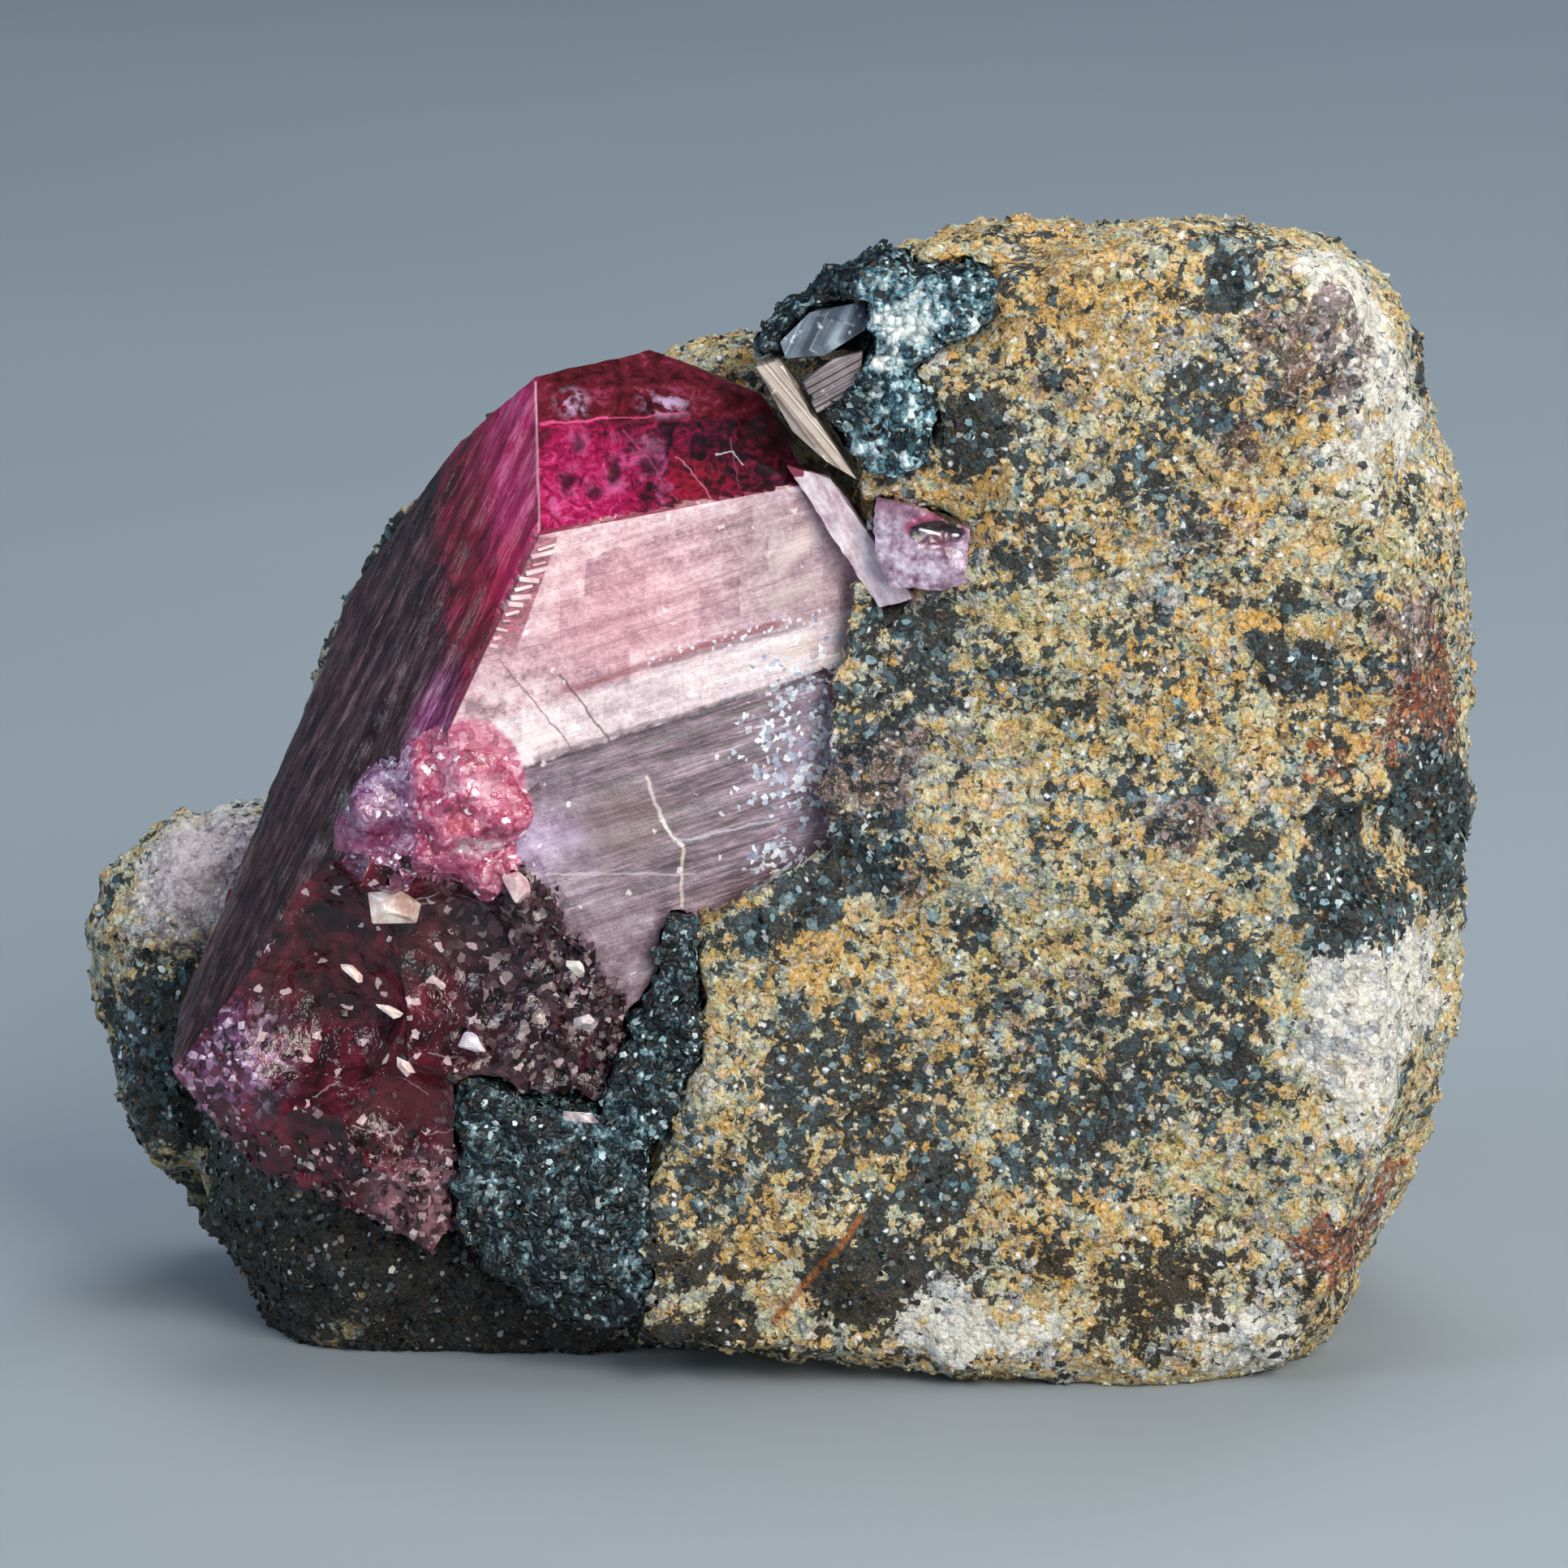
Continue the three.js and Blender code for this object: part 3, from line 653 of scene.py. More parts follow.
def packed_mica_finish():
    mica = Finish("packed_mica", Roughness=0.35, Specular_IOR_Level=0.6)
    place = mica.warped(0.4, 0.3)
    scales = mica.cells(MICA_GRAIN, place)
    pick, tone, shade = mica.chances(MICA_GRAIN, place)
    pale, teal = mica.mark("pale"), mica.mark("teal")
    # The crumpled relief also sets the colour: painted shade in its hollows and painted highlights on
    # its crests.
    crumple = mica.field(0.55, mica.grained(MICA_GRAIN, place, 0.5), 1, detail=5, rough=0.72)
    lift = tone * 0.24 + teal * 0.07
    light = crumple * 2.6 + (lift - 0.9)
    colour = light.ramp("0.25 #04070a, 0.45 #0d181b, 0.62 #21343a, 0.78 #5b7a83, 0.95 #c4dadf")
    stops = "0.2 #050d12, 0.38 #10303d, 0.52 #2c5b6c, 0.66 #7aabb9, 0.85 #e0f0f2"
    colour = colour.mix(teal * 0.9, light.ramp(stops))
    chalk = light.ramp("0.2 #5f7680, 0.42 #b4c8cd, 0.6 #e2ebe8, 0.8 #f8f8f0")
    wash = mica.field(0.32, mica.grained(MICA_GRAIN, place, 0.7), 2, detail=4, rough=0.7)
    whitened = pale * 0.5 + wash * 1.5
    colour = colour.mix(whitened.fade(0.98, 1.3) * 0.9, chalk)
    # Painted shade where the scales meet, and painted glints at the middles of a few scales.
    colour = colour.mix(scales.fade(0.45, 0.8) * 0.5, "#04080a")
    colour = colour.mix(pick.over(0.955) * scales.fade(0.4, 0.2), "#e3f1f4")
    heights = (scales * -0.9 + crumple * 0.8) * (1.0 - pale * 0.5)
    return mica.dress(colour, 0.2 + shade * 0.35, heights, 0.17)


def make_packed_mica():
    finish, flake_finish = packed_mica_finish(), mica_flake_finish()
    lie = {"tilt": 0.8, "mark": "flaky", "lift": 0.02}
    for node, seed, many in (("upper_mica", 41, 12), ("lower_mica", 51, 20)):
        mica = copy_of(node, f"{node}_skin")
        apply(mica, "REMESH", mode="VOXEL", voxel_size=0.16 * MM)
        skin(mica, mica_relief)
        settle(mica)
        patch_marks(mica, MICA_PATCHES)
        places = [drawn(v.co) for v in mica.data.vertices]
        bare = [max(0.0, 1 - 1.6 * v.value) for v in mica.data.attributes["pale"].data]
        write_mark(mica.data, "flaky", [b * (0.55 + noise.noise(p / 1.1)) for b, p in zip(bare, places)])
        smooth_by(mica, 40)
        hand_over(mica, "mica_packed", [finish], node)
        flakes = scatter(mica, f"{node}_flakes", "plate", many, (0.06, 0.18), seed, **lie)
        hand_over(flakes, "mica_packed", [flake_finish])


# The flat mica: a book, a blade and a sheet on edge, each split into leaves


def leaves(node, name, way, count, slip, seed, rounding):
    """Splits a solid into leaves across one way, each a little smaller or larger than the next."""
    chance = random.Random(seed)
    way = Vector(way).normalized()
    whole = copy_of(node, name)
    merge(whole, 0.1)
    reaches = [v.co.dot(way) for v in whole.data.vertices]
    low, high = min(reaches), max(reaches)
    middle = sum((v.co for v in whole.data.vertices), Vector()) / len(whole.data.vertices)
    edges = [low + (high - low) * i / count for i in range(count + 1)]
    made = []
    for first, last in zip(edges, edges[1:]):
        leaf = bpy.data.objects.new(f"{name}_leaf", whole.data.copy())
        bpy.context.scene.collection.objects.link(leaf)
        only(leaf)
        bpy.ops.object.mode_set(mode="EDIT")
        for cut, clear in ((first + 0.01 * MM, "clear_inner"), (last - 0.01 * MM, "clear_outer")):
            bpy.ops.mesh.select_all(action="SELECT")
            bpy.ops.mesh.bisect(plane_co=way * cut, plane_no=way, use_fill=True, **{clear: True})
        bpy.ops.object.mode_set(mode="OBJECT")
        grow = 1 + chance.uniform(-slip, slip * 0.4)
        for point in leaf.data.vertices:
            offset = point.co - middle
            flat = offset - way * offset.dot(way)
            point.co += flat * (grow - 1)
        if leaf.data.polygons:
            made.append(leaf)
    bpy.data.objects.remove(whole)
    piece = join(made, name)
    if rounding:
        edge = {"limit_method": "ANGLE", "angle_limit": math.radians(40)}
        apply(piece, "BEVEL", width=rounding * MM, segments=1, **edge)
    return piece


def flat_mica_finish(name, stops, way, fine):
    """Glossy cleavage with fine lines where the leaves end."""
    mica = Finish(name, Roughness=0.22, Specular_IOR_Level=0.7)
    across = mica.along(Vector(way).normalized())
    feeds = {"W": across, "Scale": 1 / fine, "Detail": 3.0}
    lines = mica.node("ShaderNodeTexNoise", feeds, noise_dimensions="1D")
    light = lines * 0.8 + mica.clouds(0.8) * 0.35
    colour = light.ramp(stops)
    colour = colour.mix(mica.clouds(0.35).fade(0.62, 0.75), stops.split()[-1])
    return mica.dress(colour, 0.12 + mica.clouds(0.5) * 0.25, lines, 0.05)


def make_flat_mica():
    dark = "0.3 #262b33, 0.5 #4a535f, 0.7 #788592, 1.0 #bccad3"
    grey = "0.3 #33292c, 0.5 #6f6467, 0.7 #a79c9d, 1.0 #dcd4d2"
    fawn = "0.25 #5b4c42, 0.5 #95857a, 0.7 #bdb0a6, 1.0 #e3dbd4"
    for node, way, count, slip, rounding, stops, fine, slot in (
        ("mica_book", (-0.25, 1, -0.15), 7, 0.09, 0.02, dark, 0.22, "mica_flat"),
        ("mica_blade", (0.51, 0.15, -0.86), 9, 0.12, 0.02, grey, 0.1, "mica_edge"),
        ("mica_sheet", (0.77, 0.1, 0.64), 3, 0.04, 0, fawn, 0.2, "mica_edge"),
    ):
        piece = leaves(node, f"{node}_leaves", way, count, slip, len(node), rounding)
        hand_over(piece, slot, [flat_mica_finish(f"{node}_gloss", stops, way, fine)], node)


# The ruby

SILK = Vector((0.208, -0.978, 0))  # the way the big pale face looks
SILK_REACH = 7.117  # its distance along that way
FLANK = Vector((-0.79, -0.4, 0.46))
END = Vector((0.07, -0.74, 0.67))
LENGTHWISE = Vector((-0.44, -0.09, -0.89))  # down the crystal's long flank
RUBY_IOR, CRUST_IOR = 1.77, 1.7
ABSORPTION = 160.0  # of the clear ruby, per metre
UPPER_EDGE = (29.896, 0.1477)  # the pale face's upper edge: its height at x = 0, and its rise
LEFT_EDGE = (0.4237, 0.9058, 19.497)  # its left edge: weights of height and x, and their level
LINE_RISE = 0.27  # how steeply the growth lines of the pale face rise to the right
BAND_TOP, BAND_FOOT = (25.35, 25.05), (23.5, 23.3)  # where the bright band on the face fades
BREAK = (18.2, 1.62, 8.8)  # the line between the face and the broken foot
FOOT_TOP, FOOT_RIM, ENDS_FROM = 19.5, 10.5, 27  # heights
KNOT_SEAM = (-11.9, -12.5)  # x where the pink knot gives way to the mauve one
ACROSS = Vector((0.5, -0.83, -0.17))  # over the flank, from edge to edge
KNOTS = (((-10.6, -8.9, 19.8), (1.7, 1.3, 2.4)), ((-13.2, -8.2, 19.1), (1.3, 1.2, 1.7)))
STRIP = (Vector((1.3, -7.5, 30.3)), Vector((3.5, -8, 26.3)))
# Small pits in the end faces: centre and reach
END_PITS = (
    ((-6.9, -6.9, 31.3), 0.42), ((-5.7, -6.9, 31.4), 0.3), ((-5.7, -7.3, 30.4), 0.45),
    ((-4.6, -7.1, 30.7), 0.5), ((-7.2, -7.5, 30.2), 0.36), ((-6.3, -7.5, 29.9), 0.34),
    ((-7.6, -7.8, 29.4), 0.26), ((-4.1, -7.3, 29.8), 0.3),
)
# Lines on the end faces and on the pale face: ends as x and z, width, strength, colour code
END_LINES = (
    ((-8.1, 31.85), (-5.9, 31.95), 0.03, 0.75, "#ee5a92"),
    ((-6.0, 31.92), (-3.4, 32.0), 0.02, 0.5, "#e35a8e"),
    ((-3.7, 30.9), (-2.3, 29.4), 0.022, 0.7, "#d98aa4"),
    ((-5.4, 31.6), (-3.6, 29.6), 0.02, 0.4, "#d05f86"),
    ((-1.9, 31.3), (-1.6, 30.0), 0.022, 0.5, "#a35a6e"),
    ((-2.4, 30.85), (-1.8, 30.95), 0.016, 0.9, "#e4d3e0"),
    ((-1.8, 30.95), (-1.5, 30.6), 0.016, 0.8, "#e4d3e0"),
)
SILK_LINES = (
    ((-7.4, 23.5), (-0.4, 25.4), 0.1, 0.75, "#8a3f4c"),
    ((-3.6, 24.6), (-0.2, 25.5), 0.08, 0.6, "#9a4a55"),
    ((-7.3, 24.6), (0.7, 27.2), 0.05, 0.45, "#8d5a66"),
    ((-5.0, 26.3), (0.9, 28.0), 0.035, 0.4, "#8d5a66"),
    ((-8.2, 25.3), (-2.0, 26.9), 0.03, 0.3, "#a5727c"),
    ((-4.5, 24.2), (0.6, 25.3), 0.06, 0.5, "#59474e"),
    ((-9.4, 24.7), (-7.1, 21.6), 0.025, 0.7, "#6d5240"),
    ((-7.5, 24.1), (-5.8, 21.7), 0.03, 0.8, "#3c2529"),
    ((-8.3, 21.3), (-0.5, 23.3), 0.07, 0.6, "#4d373c"),
    ((-4.7, 20.5), (-4.2, 19.0), 0.05, 0.8, "#cfc4bd"),
    ((-4.2, 19.0), (-3.5, 18.0), 0.05, 0.9, "#e4dcd6"),
    ((-3.5, 18.0), (-3.5, 16.0), 0.04, 0.8, "#c9bfae"),
    ((-3.8, 18.2), (-0.3, 18.8), 0.035, 0.7, "#b9b4c4"),
    ((-8.0, 17.4), (-3.1, 17.1), 0.035, 0.5, "#cbb9c6"),
    ((-8.8, 18.3), (-6.6, 18.6), 0.2, 0.5, "#b8a3c4"),
    ((-0.2, 24.1), (0.9, 24.9), 0.22, 0.7, "#e0ccc4"),
    ((-0.5, 27.2), (0.9, 28.6), 0.25, 0.5, "#dcc6bd"),
    ((-0.7, 26.0), (0.9, 26.9), 0.2, 0.5, "#d8c2bd"),
)


def on_knot(place, slack=1.2):
    for centre, radii in KNOTS:
        offset = place - Vector(centre)
        if Vector([offset[i] / radii[i] for i in range(3)]).length < slack:
            return True
    return False


def on_strip(place):
    start, end = STRIP
    run = end - start
    t = (place - start).dot(run) / run.length_squared
    beside = (place - start - run * t).length < 1.6
    return beside and -0.12 < t < 1.2 and place.y < silk_front(place) - 0.12


def silk_front(place):
    """The y of the big pale face beside a place."""
    return (SILK.x * place.x - SILK_REACH) / -SILK.y


def above_break(place):
    """Whether a place on the big face lies above the ragged line where the broken foot begins."""
    ragged = 0.7 * noise.noise(Vector((place.x, 0, place.z)) / 0.9) + 0.3 * noise.noise(place / 0.3)
    level, steep, left = BREAK
    return place.z > FOOT_RIM and place.z - level + steep * (place.x + left) > ragged


def ruby_region(place, out):
    """Which skin of the ruby a place lies on."""
    level = out.dot(SILK) > 0.97 and abs(place.dot(SILK) - SILK_REACH) < 0.1
    if on_knot(place) and not level:
        return "knot"
    if on_strip(place):
        return "strip"
    faces_front = out.dot(SILK) > 0.93 or (out.dot(SILK) > -0.3 and place.dot(SILK) > SILK_REACH - 0.16)
    if faces_front and abs(place.dot(SILK) - SILK_REACH) < 0.7 and place.x > -11 and above_break(place):
        return "silk"
    if out.dot(FLANK) > 0.9 and place.x < 0.6 * place.z - 23.9:
        return "flank"
    if out.dot(END) > 0.75 and place.z > ENDS_FROM:
        return "end"
    if on_knot(place, 1.4):
        return "knot"
    return "foot" if place.z < FOOT_TOP and place.y < -3 else "end"


def ruby_relief(place, out):
    region = ruby_region(place, out)
    if region == "silk":
        level = place.z - LINE_RISE * place.x
        broad = 0.05 * noise.noise(Vector((level / 0.8, 0, 3)))
        narrow = 0.03 * noise.noise(Vector((level / 0.23, 0, 7)))
        return broad + narrow + waves(place, (0.015, 0.5))
    if region == "flank":
        over, down = place.dot(ACROSS), place.dot(LENGTHWISE)
        broad = 0.12 * noise.noise(Vector((over / 0.7, down / 14, 5)))
        narrow = 0.05 * noise.noise(Vector((over / 0.2, down / 9, 2)))
        return broad + narrow + waves(place, (0.04, 0.8))
    if region == "end":
        pits = sum(0.08 * max(0.0, 1 - (place - Vector(c)).length / r) for c, r in END_PITS)
        return waves(place, (0.09, 1.6), (0.04, 0.5)) - pits
    if region == "knot":
        lumps = 0.16 + waves(place, (0.5, 1.6), (0.35, 0.8))
        return lumps + pebbles(place, 0.16, 0.8, 0.42) + waves(place, (0.06, 0.3))
    if region == "strip":
        return waves(place, (0.08, 0.6), (0.05, 0.25))
    crumbly = max(0.0, min(1.0, (place.x + 10.2) / 1.6), min(1.0, (9.2 - place.z) / 1.4))
    crumbs = pebbles(place, 0.4, 0.8) + waves(place, (0.16, 0.4))
    return waves(place, (0.1, 1.5), (0.05, 0.5)) + crumbly * crumbs


def end_colour(ruby, veils, spots, wisps, upper):
    """The crimson end faces, with pits and threads, and the level top behind them."""
    glow = ruby.near((-7.0, -7.6, 29.8), 0.6, 4.4, (1, 0.5, 1.1))
    shine = glow * 0.36 + (wisps * 1.45 - 0.43)
    stops = "0.16 #140208, 0.32 #43031b, 0.48 #86083a, 0.64 #bf1258, 0.82 #e84a92, 0.98 #f8a6cc"
    end = shine.ramp(stops)
    red = ruby.near((-3.2, -7.2, 30.1), 0.3, 1.5)
    end = end.mix(red * 0.75 * wisps.fade(0.32, 0.66), "#bd1c3a")
    lilac = ruby.near((-4.6, -7.0, 31.4), 0.2, 1.0, (1, 0.7, 1.4))
    end = end.mix(lilac * spots.fade(0.42, 0.65), "#c587ae")
    shadow = ruby.near((-0.6, -6.0, 31.2), 0.6, 3.2, (1, 0.6, 1))
    end = end.mix(shadow * 0.42, "#2b0510")
    embers = ruby.near((-1.6, -6.8, 30.8), 0.4, 1.9) * wisps.fade(0.5, 0.68)
    end = end.mix(embers * 0.7, "#a3182f")
    rim = (veils * 0.5 + wisps * 0.5).ramp("0.34 #120304, 0.45 #3c0c12, 0.56 #661828, 0.7 #a04a6e")
    end = end.mix(upper * 0.95, rim)
    frost = ruby.near((-4.0, -5.4, 32.4), 0.2, 1.0, (0.8, 1, 1.5))
    frost = frost.most(ruby.near((-7.1, -5.6, 32.4), 0.1, 0.8))
    end = end.mix(frost * spots.fade(0.42, 0.6), "#bf9fc2")
    straight, ruby.place = ruby.place, ruby.warped(0.5, 0.75)
    # Each pit gets a bright rim, a painted highlight, and a dark middle, painted shade in the hollow.
    for order, (centre, reach) in enumerate(END_PITS):
        squash = (1.0, 0.4, 1.1) if order % 2 else (1.25, 0.4, 0.85)
        ring = ruby.near(centre, reach * 0.95, reach * 1.5, squash) * veils.fade(0.42, 0.62)
        end = end.mix(ring * 0.7, "#f06fb0")
        hole = ruby.near(centre, reach * 0.3, reach * 1.1, squash)
        end = end.mix(hole * 0.85, "#2e0217")
    ruby.place = straight
    return ruby.lines_over(end, END_LINES, ruby.warped(0.7, 0.35))


def flank_colour(ruby, streaky, streaks, flecks):
    """The long side face: crimson at the top, then brown and smoky streaks down to a stony foot."""
    bright = ruby.along((0.62, -0.45, 0.64)).fade(9.8, 17.4)
    patchy = ruby.clouds(0.8, ruby.moved(streaky, size=(1.0, 1.0, 0.55)), detail=5, rough=0.68, warp=0.8)
    light = bright * 0.62 + (streaks * 0.6 - 0.66)
    light = light + (patchy * 1.15 + (flecks - 0.5) * 0.6)
    side = light.ramp("0.1 #0d0507, 0.28 #321119, 0.44 #6a1228, 0.6 #a1124a, 0.8 #c62a6e, 1.0 #e0689e")
    brown = ruby.clouds(1.6, ruby.moved(streaky, size=(1.6, 1.6, 0.4))).fade(0.46, 0.62)
    middle = bright.fade(0.25, 0.5) * bright.fade(0.95, 0.7)
    stops = "0.36 #24090b, 0.48 #5c1a22, 0.58 #8c3438, 0.68 #c07a66"
    side = side.mix((brown * 0.5).most(middle) * 0.6, (flecks * 0.6 + patchy * 0.4).ramp(stops))
    hot = ruby.near((-9.1, -8.7, 27.4), 0.5, 2.3, (1.1, 1, 0.8)) * patchy.fade(0.4, 0.58)
    side = side.mix(hot * 0.75, "#c8104e")
    smoky = ruby.near((-9.4, -7.4, 31.6), 0.4, 2.2) * patchy.fade(0.42, 0.6)
    side = side.mix(smoky * 0.6, "#8a4148")
    low = bright.fade(0.42, 0.1)
    stone = streaks * 0.35 + (flecks * 0.35 + patchy * 0.3)
    stone = stone.ramp("0.36 #0d0608, 0.46 #3a2024, 0.56 #664a4d, 0.68 #b09c9f")
    side = side.mix(low * 0.75, stone)
    violet = ruby.near((-11.7, -8.9, 22.8), 0.3, 1.9, (1.1, 1, 0.62))
    side = side.mix(violet * 0.8, flecks.ramp("0.35 #561640, 0.5 #a23a7c, 0.66 #dd9fcb"))
    # A grey bar low on the flank: a painted glossy highlight.
    bar = ruby.maths("ABSOLUTE", ruby.along(ACROSS) + (2.55 - streaks * 0.5)).fade(0.9, 0.45)
    bar = bar * ruby.along(UP).fade(21.0, 18.5)
    return side.mix(bar * 0.6, "#77707a")


def foot_colour(ruby, veils, spots):
    """The broken foot: wine-red glass with slivers, a violet tip, a rosy tail and dark bits."""
    wine = veils.ramp("0.3 #0c0203, 0.42 #290910, 0.54 #501321, 0.68 #7f2a3b, 0.85 #b87884")
    glassy = ruby.near((-12.4, -9.0, 9.7), 0.6, 2.4)
    wine = wine.mix(glassy * 0.6, "#6c1524")
    tip = ruby.near((-18.6, -6.9, 10.6), 1.0, 2.9)
    glitter = ruby.cells(0.3, output=1).ramp("0.2 #3d1f3a, 0.5 #8d5580, 0.8 #d7b3cf")
    wine = wine.mix(tip * spots.fade(0.35, 0.6), glitter)
    tail = ruby.near((-12.2, -8.8, 6.3), 0.6, 2.0, (0.8, 1, 1))
    wine = wine.mix(tail * spots.fade(0.38, 0.6), "#a4717c")
    straight, ruby.place = ruby.place, ruby.warped(0.6, 0.4)
    chance = random.Random(9)
    for _ in range(16):
        start = (chance.uniform(-16.5, -8.6), chance.uniform(6.5, 17.0))
        way, length = chance.uniform(-0.9, 1.2), chance.uniform(0.3, 1.3)
        stop = (start[0] + length * math.cos(way), start[1] + length * math.sin(way))
        sliver = ruby.stroke(start, stop, chance.uniform(0.012, 0.03))
        wine = wine.mix(sliver * chance.uniform(0.4, 0.85), "#cfb6c2")
    ruby.place = straight
    pick, tone, _ = ruby.chances(0.26, ruby.warped(0.4, 0.3))
    crumbly = (ruby.along(RIGHT) + veils * 3).fade(-10.6, -8.2)
    bits = tone.ramp("0.1 #0b0d0e, 0.45 #2e1a20, 0.8 #5d4148, 1.0 #b9a8a6")
    wine = wine.mix(crumbly * 0.8, bits)
    return wine.mix(pick.over(0.975), "#d9bcc0")


def ruby_finish():
    """Deep crimson, see-through where it is clear: the end faces, the long flank and the broken foot."""
    ruby = Finish("deep_ruby", Roughness=0.12, IOR=RUBY_IOR, Coat_Weight=0.15, Coat_Roughness=0.12)
    flank, foot = ruby.mark("flank"), ruby.mark("foot")
    veils = ruby.clouds(1.1, detail=5, rough=0.62, warp=0.6)
    spots = ruby.clouds(0.45, detail=3, warp=0.4)
    wisps = ruby.clouds(0.5, detail=5, rough=0.7, warp=1.2)
    upper = (ruby.along(UP) + spots * 0.3).fade(31.85, 32.1)
    across, lengthwise = ruby.along(ACROSS.normalized()), ruby.along(LENGTHWISE.normalized())
    streaky = ruby.bundle(X=across, Y=ruby.along(FLANK), Z=lengthwise)
    streaks = ruby.clouds(1.0, ruby.moved(streaky, size=(2.0, 2.0, 0.2)), detail=5, rough=0.62)
    flecks = ruby.clouds(1.0, ruby.moved(streaky, size=(6.0, 6.0, 0.9)), detail=4, rough=0.6)

    colour = end_colour(ruby, veils, spots, wisps, upper)
    colour = colour.mix(flank, flank_colour(ruby, streaky, streaks, flecks))
    # A pale line down the front corner of the end faces: a painted highlight along the edge.
    corner = ruby.stroke((-8.1, 28.8), (-8.3, 33.0), 0.035)
    colour = colour.mix(corner * 0.75, "#dfaabc")
    x, height = ruby.along(RIGHT), ruby.along(UP)
    inside = over_edge(x, height).fade(-0.01, -0.05) * beside_edge(x, height).fade(-0.01, -0.05)
    inside = inside * ruby.along(SILK).fade(SILK_REACH - 0.25, SILK_REACH - 0.2)
    colour = colour.mix(inside * height.fade(22.6, 22.9), "#cda4b0")
    colour = colour.mix(foot, foot_colour(ruby, veils, spots))

    clear = 0.55 - veils * 0.35
    clear = clear * (1.0 - flank.most(foot) * 0.45)
    heights = (streaks + flecks * 0.5) * flank + spots * foot
    level_top = upper * (1.0 - flank.most(foot))
    rough = 0.08 + spots * 0.2 + level_top * 0.2
    dull = flank * 0.12 + foot * 0.12
    shine_left = 0.36 - (level_top * 0.3 + dull)
    coat = 0.08 * (1.0 - level_top)
    clear = clear * (1.0 - level_top * 0.8)
    sockets = {"Transmission_Weight": clear, "Specular_IOR_Level": shine_left, "Coat_Weight": coat}
    material = ruby.dress(colour, rough, heights, 0.12, **sockets)
    feeds = {"Color": ink("#e0245c"), "Density": ABSORPTION}
    soak = ruby.node("ShaderNodeVolumeAbsorption", feeds, "Volume")
    ruby.tree.links.new(soak.socket, ruby.tree.nodes["Material Output"].inputs["Volume"])
    return material


def over_edge(x, height):
    """How far a place on the big face lies above its upper edge, seen from the front."""
    return height - (UPPER_EDGE[0] + x * UPPER_EDGE[1])


def beside_edge(x, height):
    """How far a place on the big face lies to the left of its left edge, seen from the front."""
    return height * LEFT_EDGE[0] - (x * LEFT_EDGE[1] + LEFT_EDGE[2])


